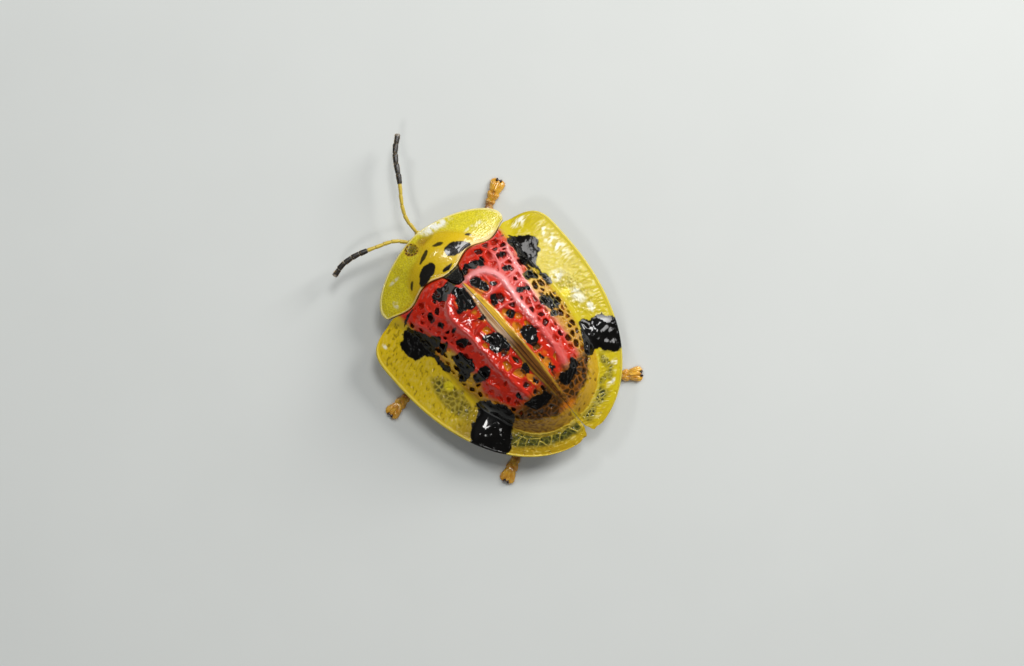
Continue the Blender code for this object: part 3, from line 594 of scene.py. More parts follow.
blackMarks = {
    "left": (
        ((-3.46, 3.08), (-3.15, 2.88), (-3.12, 3.3), (-2.92, 3.54), (-2.8, 3.92), (-2.6, 4.23), (-2.4, 4.36),
         (-2.4, 4.6), (-2.92, 4.73), (-3.05, 4.8), (-2.96, 5.77), (-3.08, 5.96), (-3.25, 5.92), (-3.25, 5.2),
         (-3.35, 4.73), (-3.54, 4.54), (-3.88, 4.5), (-4.12, 4.08), (-4.13, 3.69), (-3.98, 3.46),
         (-3.77, 3.23)),
        ((-2.8, 4.73), (-2.38, 4.69), (-2.35, 4.92), (-2.54, 5.15), (-2.8, 5.15), (-2.88, 4.92)),
        ((-2.62, 5.35), (-2.35, 5.54), (-2.15, 5.54), (-2.08, 5.9), (-2.0, 6.3), (-2.12, 6.58), (-2.5, 6.7),
         (-2.96, 6.77), (-3.15, 6.46), (-2.92, 6.3), (-2.85, 6.08), (-2.69, 5.96), (-2.65, 5.7)),
        ((-2.54, 6.8), (-2.15, 6.73), (-1.69, 6.8), (-1.58, 7.0), (-1.69, 7.23), (-2.15, 7.35),
         (-2.5, 7.27)),
        ((-2.35, 3.55), (-2.12, 3.25), (-1.99, 3.3), (-2.08, 3.65), (-2.28, 3.72)),
        ((-2.15, 3.95), (-1.95, 3.9), (-1.92, 4.15), (-2.1, 4.2)),
        ((-1.95, 4.55), (-1.6, 4.5), (-1.58, 4.7), (-1.9, 4.78)),
        ((-2.1, 5.08), (-1.55, 5.15), (-1.55, 5.55), (-1.95, 5.5)),
        ((-0.62, 3.15), (-0.31, 3.15), (-0.12, 3.38), (-0.12, 4.0), (-0.23, 4.38), (-0.46, 4.54),
         (-0.69, 4.31),
         (-1.0, 4.3), (-1.08, 4.08), (-0.88, 3.92), (-0.69, 3.54)),
        ((-0.58, 5.0), (-0.45, 4.86), (-0.3, 4.95), (-0.28, 5.15), (-0.48, 5.25)),
        ((-1.08, 5.77), (-0.77, 5.74), (-0.31, 5.92), (-0.23, 6.38), (-0.23, 6.85), (-0.38, 7.0),
         (-0.62, 6.96),
         (-0.92, 6.7), (-1.08, 6.46), (-0.96, 6.08)),
        ((-0.68, 7.98), (-0.45, 7.85), (-0.22, 7.95), (-0.22, 8.25), (-0.45, 8.35), (-0.65, 8.25)),
        ((-0.6, 8.8), (-0.42, 8.7), (-0.35, 8.9), (-0.5, 9.0)),
        ((-1.6, 8.8), (-1.4, 8.7), (-1.3, 9.0), (-1.45, 9.2), (-1.62, 9.05)),
        ((-1.58, 9.27), (-1.08, 9.36), (-0.62, 9.42), (-0.35, 9.54), (-0.32, 9.92), (-0.62, 10.04),
         (-1.08, 9.96),
         (-1.38, 9.77), (-1.55, 9.54)),
        ((-3.23, 7.88), (-2.92, 7.85), (-2.69, 8.08), (-2.58, 8.38), (-2.31, 8.62), (-2.23, 9.0),
         (-2.12, 9.31),
         (-2.23, 9.62), (-2.62, 9.77), (-2.85, 9.92), (-3.0, 10.23), (-3.31, 10.54), (-3.69, 10.65),
         (-4.3, 10.6), (-4.8, 9.6), (-4.5, 9.0), (-4.08, 8.54), (-3.69, 8.38), (-3.31, 8.31), (-3.23, 8.08)),
        ((-1.54, 2.85), (-1.38, 2.69), (-0.92, 2.69), (-0.62, 2.77), (-0.23, 2.7), (0.1, 2.85), (0.1, 3.1),
         (-0.3, 3.08), (-0.69, 3.15), (-1.08, 3.35), (-1.38, 3.23), (-1.46, 3.0)),
        ((-3.3, 2.86), (-2.95, 2.66), (-2.5, 2.56), (-2.5, 2.6), (-2.95, 2.73), (-3.3, 2.95)),
    ),
    "right": (
        ((2.95, 3.02), (3.3, 3.0), (3.62, 3.22), (3.95, 3.5), (4.16, 3.86), (4.12, 4.15), (3.95, 4.42),
         (3.62, 4.62), (3.35, 4.77), (3.31, 5.08), (3.36, 5.5), (3.4, 5.9), (3.2, 6.0), (2.96, 5.85),
         (3.15, 5.54), (3.17, 4.9), (2.96, 4.54), (2.77, 4.54), (2.69, 4.31), (2.77, 4.08), (2.96, 3.92),
         (3.0, 3.62), (2.92, 3.31)),
        ((2.42, 4.73), (2.85, 4.69), (2.98, 4.85), (3.0, 5.15), (2.85, 5.38), (2.69, 5.15), (2.38, 5.08)),
        ((2.31, 6.0), (2.69, 6.15), (2.77, 6.46), (3.0, 6.7), (2.96, 6.9), (2.62, 7.0), (2.31, 6.77),
         (2.15, 6.46),
         (2.19, 6.15)),
        ((2.15, 6.95), (2.5, 6.95), (2.6, 7.15), (2.35, 7.3), (2.1, 7.15)),
        ((2.3, 5.5), (2.55, 5.45), (2.62, 5.65), (2.4, 5.75)),
        ((0.31, 3.31), (0.62, 3.38), (0.81, 3.69), (0.81, 4.08), (0.69, 4.31), (0.5, 4.31), (0.31, 4.0),
         (0.25, 3.62)),
        ((-0.1, 2.75), (0.54, 2.69), (0.92, 2.62), (1.15, 2.85), (1.54, 2.85), (1.5, 3.08), (1.31, 3.3),
         (1.08, 3.15), (0.77, 3.0), (0.31, 3.05), (-0.1, 3.1)),
        ((0.38, 4.54), (0.69, 4.54), (0.78, 4.77), (0.62, 5.08), (0.38, 5.0)),
        ((0.92, 4.05), (1.12, 4.1), (1.2, 4.3), (1.0, 4.35), (0.9, 4.2)),
        ((2.04, 3.2), (2.54, 3.3), (2.58, 3.62), (2.15, 3.54)),
        ((1.77, 3.85), (2.31, 4.0), (2.27, 4.31), (1.85, 4.15)),
        ((1.54, 5.0), (2.15, 5.15), (2.23, 5.54), (1.77, 5.38)),
        ((0.54, 5.54), (0.92, 5.5), (1.02, 5.85), (0.92, 6.0), (0.54, 5.92), (0.46, 5.77)),
        ((0.42, 6.54), (0.69, 6.54), (1.08, 6.73), (1.12, 7.15), (0.92, 7.38), (0.69, 7.62), (0.42, 7.65),
         (0.4, 7.08)),
        ((0.42, 8.05), (0.56, 8.05), (0.58, 8.3), (0.44, 8.35)),
        ((0.42, 8.75), (0.62, 8.7), (0.66, 8.95), (0.45, 9.0)),
        ((0.38, 9.54), (0.69, 9.35), (1.08, 9.38), (1.31, 9.31), (1.5, 9.08), (1.69, 9.31), (1.69, 9.62),
         (1.31, 9.85), (0.92, 10.04), (0.54, 10.0), (0.4, 9.85)),
        ((3.02, 8.08), (3.3, 8.22), (3.4, 8.52), (3.56, 8.45), (3.92, 8.46), (4.3, 8.78), (4.62, 9.25),
         (4.55, 9.8),
         (4.2, 10.3), (3.8, 10.55), (3.4, 10.4), (3.08, 10.08), (2.91, 9.68), (2.52, 9.78), (2.17, 9.7),
         (2.31, 9.31), (2.54, 9.0), (2.72, 8.7), (2.85, 8.38)),
        ((3.3, 2.95), (2.95, 2.66), (2.5, 2.62), (2.5, 2.66), (2.95, 2.74), (3.3, 3.02)),
    ),
}
redEdge = {"y": (2.4, 4.6, 5.2, 7.0, 7.6, 8.4, 9.2), "left": (3.3, 2.9, 2.5, 2.3, 2.6, 2.45, 2.1),
           "right": (3.3, 2.9, 2.35, 2.15, 2.2, 2.15, 1.9)}


def wingCasePlan():
    along = np.linspace(0, 1, wingCase["rows"] + 1)[:, None]
    onDisc = np.linspace(0, wingCase["discShare"], wingCase["discColumns"] + 1)
    onMargin = np.linspace(wingCase["discShare"], 1, wingCase["marginColumns"] + 1)[1:]
    across = np.concatenate([onDisc, onMargin])[None, :]
    edgeX, edgeY = outerEdge(along)
    innerX = wingCase["sutureX"] + wingCase["apexNotch"] * smoothStep(0.9, 1.02, along) ** 4
    x = innerX + (edgeX - innerX) * across
    tipY = shell["scutellumTipY"]
    sutureLine = tipY + (shell["apexY"] - tipY) * along**1.25
    fanY = sutureLine + (edgeY - sutureLine) * across**1.4
    baseX = x[:1]
    baseY = tipY + (seamY(baseX) + 0.03 - tipY) * smoothStep(0.15, shell["notchX"], baseX)
    baseY = baseY + (edgeY[0] - baseY) * smoothStep(3.3, shell["shoulderInnerX"], baseX)
    roundTip = -0.12 * smoothStep(0.955, 1.0, along) ** 2 * np.abs(2 * across - 1) ** 3
    return x, fanY + (baseY - fanY[:1]) * (1 - along) ** 3 + roundTip, across + 0 * x, baseY + 0 * x


# 0 on the level, 1 at the bottom of a pit, and a number for each pit
def pitRelief(x, y, spread, wall, seed):
    wide, wideOwn = cellsOf(spread + 0.05 * softNoise(x, y, 0.2, seed + 2), y * 0.86, wingCase["largeCells"],
                            seed, 0.75)
    narrow, narrowOwn = cellsOf(spread + 0.04 * softNoise(x, y, 0.15, seed + 3), y, wingCase["smallCells"],
                                seed + 30, 0.75)
    nearMiddle = x < wingCase["widePitsTo"] - 0.2 * smoothStep(7.0, 9.0, y)
    own = np.where(nearMiddle, wideOwn, narrowOwn)
    wide, narrow = smoothStep(0.045, 0.2, wide), smoothStep(wall, wall + 0.12, narrow)
    depth = np.where(nearMiddle, wide, narrow) * (0.35 + 0.65 * smoothStep(0.2, 0.5, np.abs(own - 0.5) * 2))
    return depth, own


def makeWingCase(hand, paint):
    left = hand == "left"
    x, y, across, baseY = wingCasePlan()
    side = -x if left else x
    seed = 11 if left else 47
    around, inner = marginRadius(x, y), discRadius(x, y)
    level = elytraZ(x, y)
    uneven = roughNoise(side, y, 0.5, seed)
    wobble = softNoise(side, y, 0.3, seed + 5)
    onDisc = fade(0.9, 1.01, inner + 0.02 * uneven)
    steps = np.hypot(np.diff(x, axis=1), np.diff(level, axis=1))
    # way over the surface
    spread = x[:, :1] + np.concatenate([0 * x[:, :1], np.cumsum(steps, axis=1)], axis=1)
    pits, own = pitRelief(x, y, spread, 0.065 if left else 0.025, seed)
    pits = (pits * smoothStep(0.0, 0.12, 1.03 - inner) * smoothStep(0.08, 0.25, y - baseY)
            * smoothStep(0.27, 0.4, x))
    ridges = np.zeros(x.shape)
    for stops, height, width in ridgeLines:
        near = np.exp(-((fromLine(x + 0.03 * wobble, y, stops) / width) ** 2))
        ridges = np.maximum(ridges, height * near)
        pits = pits * fade(0.3, 0.85, near)
    pits = pits * (1 - 0.5 * smoothStep(9.4, 10.2, y))
    rearBlot = max(blackMarks[hand], key=lambda outline: max(abs(corner[0]) for corner in outline))
    inBlot = -fromOutline(side, y, rearBlot)
    inFrontBlot = -fromOutline(side, y, blackMarks[hand][0])
    plain = (np.maximum(smoothStep(-0.1, 0.05, inBlot), 0.85 * smoothStep(0.0, 0.15, inFrontBlot))
             * (0.9 if left else 0.0))
    pits = pits * (1 - plain)
    stripHalf = np.interp(y, (3.2, 3.8, 5.0, 8.0, 10.4), (0.05, 0.13, 0.3, 0.32, 0.2)) + 0.03 * uneven
    onSuture = fade(-0.05, 0.06, x - stripHalf) * smoothStep(3.15, 3.4, y)
    strip = 0.07 * onSuture * fade(10.2, 11.0, y)
    streaks = softNoise(side, y * 0.04, 0.075, seed + 3) + 0.35 * softNoise(side, y * 0.07, 0.04, seed + 4)
    strip = strip + 0.007 * onSuture * streaks
    onMargin = smoothStep(1.0, 1.08, inner) * fade(0.955, 0.97, around)
    slant = y - 0.35 * x
    wrinkles = (softNoise(side * 0.5, slant, 0.085, seed + 7)
                + 0.6 * softNoise(side * 0.6, slant, 0.045, seed + 8))
    if not left:  # short lines square to the edge
        rim = smoothStep(0.8, 0.86, around + 0.03 * uneven)
        lengths = np.linspace(0, 14.5, len(x))[:, None] + 0 * x
        square = softNoise(around * 2.2, lengths + 0.05 * wobble, 0.07, seed + 7) - 0.2
        wrinkles = 0.7 * wrinkles * (1 - rim) + 1.3 * square * rim
    rear = smoothStep(9.7, 10.4, y)
    windows = (smoothStep(1.055, 1.085, inner + 0.015 * uneven) * fade(0.915, 0.95, around + 0.012 * uneven)
               * rear)
    patchy = 1.0 if left else smoothStep(-0.25, 0.25, roughNoise(side, y, 0.55, seed + 22))
    windows = windows * smoothStep(0.14, 0.2, x) * patchy
    belt = np.hypot((x - 3.88 - 0.12 * uneven) / 0.5, (y - 6.9) / 1.35)
    belt = fade(0.7, 1.1, belt + 0.25 * uneven)
    patches = np.clip(0.8 + 0.5 * roughNoise(side, y, 0.5, seed + 17), 0, 1)
    windows = np.maximum(windows, belt * patches * (0.95 if left else 0.25))
    ring = bell(inner - 1.05 + 0.018 * uneven, 0.008) * rear * smoothStep(0.14, 0.2, x)
    loose = side + 0.06 * wobble, y + 0.06 * uneven
    walls = np.where(y > 9.3, cellsOf(loose[0] * 0.8, loose[1], wingCase["cellSize"], seed, 0.95)[0],
                     1.5 * cellsOf(*loose, wingCase["beltCells"], seed + 3, 1.0)[0])
    lines = fade(0.0, np.where(y > 9.3, 0.03, 0.09), walls + 0.01 * uneven)
    netWalls, netOwn = cellsOf(*loose, 0.27, seed + 6, 1.0)
    net = fade(0.0, 0.05, netWalls)
    lines = np.maximum(lines, 0 if left else net * rear * 0.6)
    dots = smoothStep(0.07, 0.1, netWalls) * (netOwn > 0.6)
    tail = smoothStep(8.95, 9.6, y + 0.12 * uneven)
    rings = np.where(inner < 1.06, inner * 4.2, around * 5.2)
    grain = (softNoise(rings + 0.06 * uneven, np.arctan2(y - 7, x) * 1.4, 0.04, seed + 15)
             * smoothStep(9.2, 10.0, y))
    glassy = np.maximum(windows * smoothStep(9.3, 9.8, y), belt) * (1 - lines)
    bead = bell(across - 0.988, 0.01) - 0.12 * bell(across - 0.95, 0.02)
    bulge = smoothStep(0.0, 0.45, inBlot)
    black = blots(side, y, blackMarks[hand], 0.03, 0.12, seed + 20)
    more = smoothStep(2.1, 2.5, x) * (y < 8.0) * (0.3 if left else 0.42)
    more = more + (0.36 if left else 0.1) * smoothStep(1.3, 1.5, x) * smoothStep(7.5, 7.8, y)
    chosen = np.where(x < wingCase["widePitsTo"], smoothStep(0.42, 0.3, own),
                      smoothStep(0.5, 0.6, own + more))
    tailMark = black * smoothStep(8.9, 9.3, y)
    dark = smoothStep(0.3, 0.6, pits) * chosen
    black = np.maximum(black, dark * (0.92 if left else 0.8) * onDisc)
    pits = pits * (1 - 0.75 * tailMark)
    relief = (ridges * (1 - 0.6 * smoothStep(8.5, 9.6, y)) * onDisc
              - wingCase["pitDepth"] * pits * onDisc
              * (1 + smoothStep(1.6, 2.4, x) * (0.7 if left else 0.2)))
    relief = relief + strip * fade(0.9, 1.0, inner)
    relief = relief + wingCase["wrinkle"] * wrinkles * onMargin * (1 - windows) * (1 - black)
    relief = relief + 0.03 * lines * windows + 0.05 * ring + wingCase["beadHeight"] * bead + 0.004 * grain
    relief = (relief + 0.03 * glassy * softNoise(side, y, 0.13, seed + 18)
              + 0.02 * net * tail * (inner < 0.93) - 0.03 * dots * tail)
    relief = relief - 0.1 * np.exp(-(y - baseY) / 0.07) + wingCase["bulge"] * bulge
    relief = relief + 0.09 * bulge * softNoise(side, y, 0.45, seed + 12)
    relief = relief + (0.0 if left else 0.045) * bulge * softNoise(side, y, 0.24, seed + 33)
    rugged = black * smoothStep(0.8, 0.95, inner) * fade(6, 7, y)
    relief = (relief + (0.05 if left else 0.022) * rugged
              * roughNoise(side, y, 0.15 if left else 0.24, seed + 13))
    crests = smoothStep(0.04, 0.11, ridges) * smoothStep(5.0, 6.5, y) * (x > 1.0)
    lively = onDisc * (0.1 + 0.2 * crests + smoothStep(1.9, 2.5, x) * (0.1 if left else 0.9)) * (1 - plain)
    relief = (relief + lively * (0.09 * softNoise(spread, y, 0.22, seed + 19)
                                 + 0.045 * softNoise(spread, y, 0.12, seed + 23)))
    fall = -np.gradient(level, axis=1) / np.gradient(x, axis=1)
    facets = (0.34 * ((spread / 0.3 + 7 * own) % 1 - 0.5) * np.clip(fall - 0.55, 0, 2.2)
              * np.cos(np.arctan(fall)))
    facets = facets * smoothStep(-0.7, 0.0, softNoise(spread, y, 0.3, seed + 31))
    inPits = 0 if left else smoothStep(0.2, 0.6, pits) * onDisc * smoothStep(1.4, 1.8, x) * fade(7.6, 8.6, y)
    relief = relief + facets * np.maximum(inPits, 0 if left else rugged)  # small planes that catch the light
    thickness = (wingCase["marginThickness"] + (wingCase["discThickness"] - wingCase["marginThickness"])
                 * onDisc)
    thickness = thickness + (wingCase["edgeThickness"] - thickness) * smoothStep(0.93, 0.995, around)
    thickness = thickness + 0.42 * np.exp(-(y - baseY) / 0.16) * smoothStep(3.6, 3.0, x)
    redHalf = np.interp(y, redEdge["y"], redEdge[hand])
    red = fade(-0.22, 0.2, x - redHalf + 0.16 * uneven) * fade(9.1, 9.55, y + 0.15 * uneven)
    gold = onSuture * fade(10.2, 10.6, y)
    amber = fade(-0.12, 0.12, x - (0.62 if left else 0.42) - 0.45 * softNoise(side, y, 0.8, seed + 16))
    amber = np.maximum(amber * smoothStep(0.3, 0.8, pits + own),
                       (x < 1.4) * smoothStep(0.62, 0.75, own) * smoothStep(0.1, 0.6, pits))
    amber = amber * smoothStep(3.3, 3.9, y) * fade(8.6, 9.4, y)
    brown = tail * fade(0.91, 0.95, inner + 0.03 * uneven)
    arc = (tail * smoothStep(0.91, 0.95, inner + 0.03 * uneven) * fade(1.03, 1.06, inner)
           * smoothStep(0.05, 0.2, x))
    orange = fade(0.3, 1.1, np.hypot(x / 0.6, (y - 11.0) / 0.55) + 0.2 * uneven)
    braid = bell(x - stripHalf + 0.06, 0.05) * smoothStep(3.3, 3.8, y) * fade(9.8, 10.4, y)
    spotX, spotY = (3.6, 6.4) if left else (3.5, 6.7)
    spot = fade(0.12, 0.3, np.hypot(x - spotX, y - spotY) + 0.06 * uneven)
    # Pale patches of painted sheen on the margin, broken up along the wrinkles.
    clouds = np.zeros(x.shape)
    for placeX, placeY, reachX, reachY in wingCase["clouds"][hand]:
        near = fade(0.3, 1.0, np.hypot((x - placeX) / reachX, (y - placeY) / reachY) + 0.35 * uneven)
        clouds = np.maximum(clouds, near)
    clouds = clouds * smoothStep(-0.9, 0.5, wrinkles + 0.7 * softNoise(side, y, 0.17, seed + 21))
    slope = smoothStep(1.3, 2.2, x) if left else np.zeros(x.shape)
    gloss = onDisc * (0.95 - 0.75 * slope) * (1 - 0.85 * black * slope) + (1 - onDisc) * (0.2 + 0.5 * glassy)
    gloss = gloss + (0.95 - gloss) * smoothStep(0.1, 0.6, bulge) * black * (1 - onDisc)
    shoulder = black * smoothStep(2.5, 2.9, x) * fade(5.0, 5.6, y)
    gloss = gloss * (1 - 0.9 * brown) * (1 - (0.75 if left else 0.4) * shoulder)
    gloss = (gloss * (1 - 0.8 * tailMark) * (1 - 0.85 * plain * onDisc)
             * (1 - 0.6 * onSuture * smoothStep(6.5, 8.0, y)))
    # Painted sheen: pale pink on the ridge crests and the flat walls between pits, nearly only on the
    # beetle's right, where the light glares on them.
    raised = (ridges / 0.14) ** 1.6 + 0.3 * (1 - pits) ** 4 * smoothStep(1.5, 2.0, x)
    raised = np.clip(raised, 0, 1) * onDisc
    raised = raised * (0.1 if left else 1.0) * (1 - 0.75 * smoothStep(5.6, 7.2, y)) * smoothStep(2.9, 3.3, y)
    skip = wingCase["skip"]
    marks = {"disc": onDisc, "red": red * onDisc, "gold": gold, "brown": brown, "braid": braid,
             "black": black, "pits": pits * onDisc,
             "windows": windows * (1 - spot), "walls": np.maximum(lines * windows, ring), "spot": spot,
             "net": net, "dots": dots,
             "creases": 0.5 + 0.4 * wrinkles * onMargin, "amber": amber, "orange": orange, "arc": arc,
             "streaks": streaks, "grain": grain, "back": smoothStep(3.5, 9.0, y),
             "clouds": clouds * onMargin,
             "gloss": gloss, "raised": raised, "rim": smoothStep(0.968, 0.98, across),
             "warm": smoothStep(-2.5, 2.5, -side) + 0 * x, "leftSide": float(left) + 0 * x}
    shape = sheetShape(x if left else -x, y, level + relief, level - thickness, skip)
    obj = makeObject("wing_case_" + hand, shape, paint,
                     {key: onSheet(values, skip) for key, values in marks.items()})
    settle(obj, "wing_case", "elytron_" + hand)
    print("wing case", hand, len(obj.data.polygons), "faces")


def wingCasePaint():
    paint = Paint("clearAndRedShell")
    fine, middle, broad = paint.noise(0.09), paint.noise(0.35), paint.noise(1.3, 2.0)
    creases, pits, walls, grain = map(paint.read, ("creases", "pits", "walls", "grain"))
    disc, black, windows, back = map(paint.read, ("disc", "black", "windows", "back"))
    warm, clouds, net = paint.read("warm"), paint.read("clouds"), paint.read("net")
    raised, leftSide, rear = paint.read("raised"), paint.read("leftSide"), paint.band(back, 0.85, 1.0)
    lemon = paint.mix((0.6, 0.49, 0.007), (0.54, 0.42, 0.005), middle)
    amber = paint.mix((0.8, 0.58, 0.008), (0.64, 0.42, 0.005), middle)
    colour = paint.mix(lemon, amber, warm)
    colour = paint.mix(colour, (0.38, 0.24, 0.008), rear * warm * 0.85)
    colour = paint.mix(colour, (0.8, 0.6, 0.12), paint.band(grain, -0.35, -0.8) * rear * warm * 0.8)
    # Painted shade in the hollows of the creases, stronger on the beetle's left, and a painted highlight on
    # their crests, stronger on the right.
    colour = paint.mix(colour, (0.3, 0.2, 0.003), paint.band(creases, 0.42, 0.08) * (0.25 + warm * 0.6))
    colour = paint.mix(colour, (0.84, 0.76, 0.36), paint.band(creases, 0.5, 0.9) * (0.62 - warm * 0.5))
    # Painted sheen: pale glare laid over the margin.
    colour = paint.mix(colour, (0.84, 0.84, 0.72), clouds * 0.85)
    colour = paint.mix(colour, (0.42, 0.24, 0.006), paint.band(grain, 0.1, 0.7) * (0.2 + warm * 0.4))
    cloudy = paint.mix((0.03, 0.035, 0.004), (0.08, 0.08, 0.008), middle)
    cloudy = paint.mix(cloudy, (0.26, 0.23, 0.025), net * rear * 0.5)
    colour = paint.mix(colour, cloudy, windows * (1 - walls * 0.6))
    colour = paint.mix(colour, (0.62, 0.5, 0.08), walls * 0.6)
    colour = paint.mix(colour, (0.78, 0.64, 0.004), paint.read("spot") * 0.85)
    colour = paint.mix(colour, (0.74, 0.6, 0.09), paint.read("rim") * 0.6)
    outer = paint.mix((0.72, 0.46, 0.03), (0.5, 0.16, 0.01), paint.band(broad + middle * 0.5, 0.6, 0.95))
    outer = paint.mix(outer, (0.46, 0.22, 0.008), back)
    # Painted sheen on the ridges of the outer zone.
    outer = paint.mix(outer, (0.86, 0.6, 0.36), raised * 0.6)
    outer = paint.mix(outer, (0.3, 0.11, 0.006), paint.band(grain, 0.0, 0.6) * 0.4)
    red = paint.mix((0.62, 0.026, 0.006), (0.48, 0.012, 0.004), middle)
    # Painted sheen on the red ridges.
    red = paint.mix(red, (0.9, 0.36, 0.36), raised * (0.65 + middle * 0.35))
    red = paint.mix(red, (0.62, 0.24, 0.012), paint.read("amber") * 0.85)
    inDisc = paint.mix(outer, red, paint.read("red"))
    streaks = paint.read("streaks")
    pale = paint.mix((0.66, 0.4, 0.035), (0.56, 0.4, 0.28), leftSide)
    pale = paint.mix(pale, (0.3, 0.13, 0.03), paint.band(streaks, 0.1, 0.8) * (0.35 + leftSide * 0.5))
    umber = paint.mix((0.13, 0.05, 0.01), (0.05, 0.017, 0.004), paint.band(streaks, -0.3, 0.3))
    inDisc = paint.mix(inDisc, paint.mix(pale, umber, paint.band(back, 0.35, 0.75)), paint.read("gold"))
    inDisc = paint.mix(inDisc, (0.66, 0.36, 0.03), paint.read("braid") * (0.75 - leftSide * 0.45))
    # Darker in the pits and in patches: partly painted shade in the pits, partly patchy tone.
    sepia = paint.mix((0.03, 0.011, 0.003), (0.01, 0.004, 0.002), paint.band(pits + middle * 0.5, 0.15, 0.6))
    sepia = paint.mix(sepia, (0.3, 0.095, 0.008), net * (0.7 - leftSide * 0.4))
    inDisc = paint.mix(inDisc, sepia, paint.read("brown") * (1 - paint.read("gold") * 0.6) * 0.95)
    inDisc = paint.mix(inDisc, paint.mix((0.72, 0.22, 0.006), (0.5, 0.13, 0.004), fine),
                       paint.read("orange"))
    # Painted shade at the bottoms of the pits, less where the cells are amber.
    inDisc = paint.mix(inDisc, (0.2, 0.012, 0.004),
                       paint.band(pits, 0.45, 0.95) * (0.7 - paint.read("amber") * 0.6))
    colour = paint.mix(colour, inDisc, disc)
    golden = paint.mix((0.36, 0.17, 0.008), (0.17, 0.065, 0.004), paint.band(grain, -0.1, 0.6))
    golden = paint.mix((0.64, 0.38, 0.006), golden, 0.3 + warm * 0.7)
    golden = paint.mix(golden, (0.12, 0.05, 0.005), paint.read("dots") * 0.8)
    colour = paint.mix(colour, golden, paint.read("arc") * (1 - walls) * 0.9)
    colour = paint.mix(colour, paint.mix((0.002, 0.002, 0.002), (0.006, 0.005, 0.004), middle), black)
    solid = disc.atLeast(black)
    alpha = 0.88 - windows * (1 - walls) * back * 0.06 + fine * 0.06 + clouds * 0.1
    alpha = alpha.atLeast(solid)
    roughness = 0.1 + fine * 0.08 + (1 - solid) * 0.28
    normal = paint.bump(paint.noise(0.15, 2.0) * disc, 0.03, 0.5, paint.bump(fine, 0.002, 0.4))
    return paint.finish(colour=colour, alpha=alpha, roughness=roughness, normal=normal,
                        coat=paint.read("gloss"),
                        coatRoughness=0.03, index=1.5, shine=0.14)


# Neck shield

# The listed pale patches are painted sheen, by place and reach.
neckShield = {"columns": 416, "rows": 112, "skip": 4, "thickness": 0.14, "edgeThickness": 0.06,
              "clouds": ((2.55, 1.55, 0.3, 0.12), (2.0, 1.45, 0.4, 0.1), (-2.9, 1.9, 0.2, 0.25),
                         (-2.2, 1.0, 0.5, 0.1))}
shieldMarks = (
    ((-0.15, 0.93), (-0.3, 0.93), (-0.5, 1.0), (-0.7, 1.12), (-0.84, 1.22), (-0.8, 1.27), (-0.6, 1.23),
     (-0.35, 1.12),
     (-0.2, 1.03)),
    ((0.08, 0.94), (0.38, 0.96), (0.69, 1.13), (0.66, 1.25), (0.46, 1.17), (0.23, 1.09)),
    ((-1.5, 2.1), (-1.42, 1.85), (-1.23, 1.62), (-0.96, 1.46), (-0.62, 1.42), (-0.35, 1.5), (-0.32, 1.69),
     (-0.46, 1.88), (-0.69, 2.02), (-1.0, 2.1), (-1.27, 2.14)),
    ((0.38, 1.46), (0.69, 1.4), (1.08, 1.46), (1.31, 1.65), (1.58, 1.96), (1.6, 2.12), (1.31, 2.1),
     (0.92, 2.08),
     (0.54, 1.96), (0.37, 1.81)),
    ((-1.92, 1.91), (-1.96, 1.83), (-1.81, 1.62), (-1.63, 1.55), (-1.6, 1.63), (-1.73, 1.77)),
    ((1.65, 1.54), (1.85, 1.58), (1.96, 1.75), (1.9, 1.79), (1.73, 1.68)),
    ((-0.27, 2.17), (0.0, 2.12), (0.35, 2.15), (0.27, 2.28), (0.0, 2.34), (-0.23, 2.29)),
)
shieldDisc = ((-2.15, 2.6), (-2.05, 1.8), (-1.75, 1.4), (-1.4, 1.15), (-1.05, 1.02), (-0.68, 0.93),
              (-0.4, 0.72), (-0.1, 0.46),
              (0.6, 0.45), (1.0, 0.68), (1.35, 1.0), (1.7, 1.35), (2.05, 1.8), (2.15, 2.6))


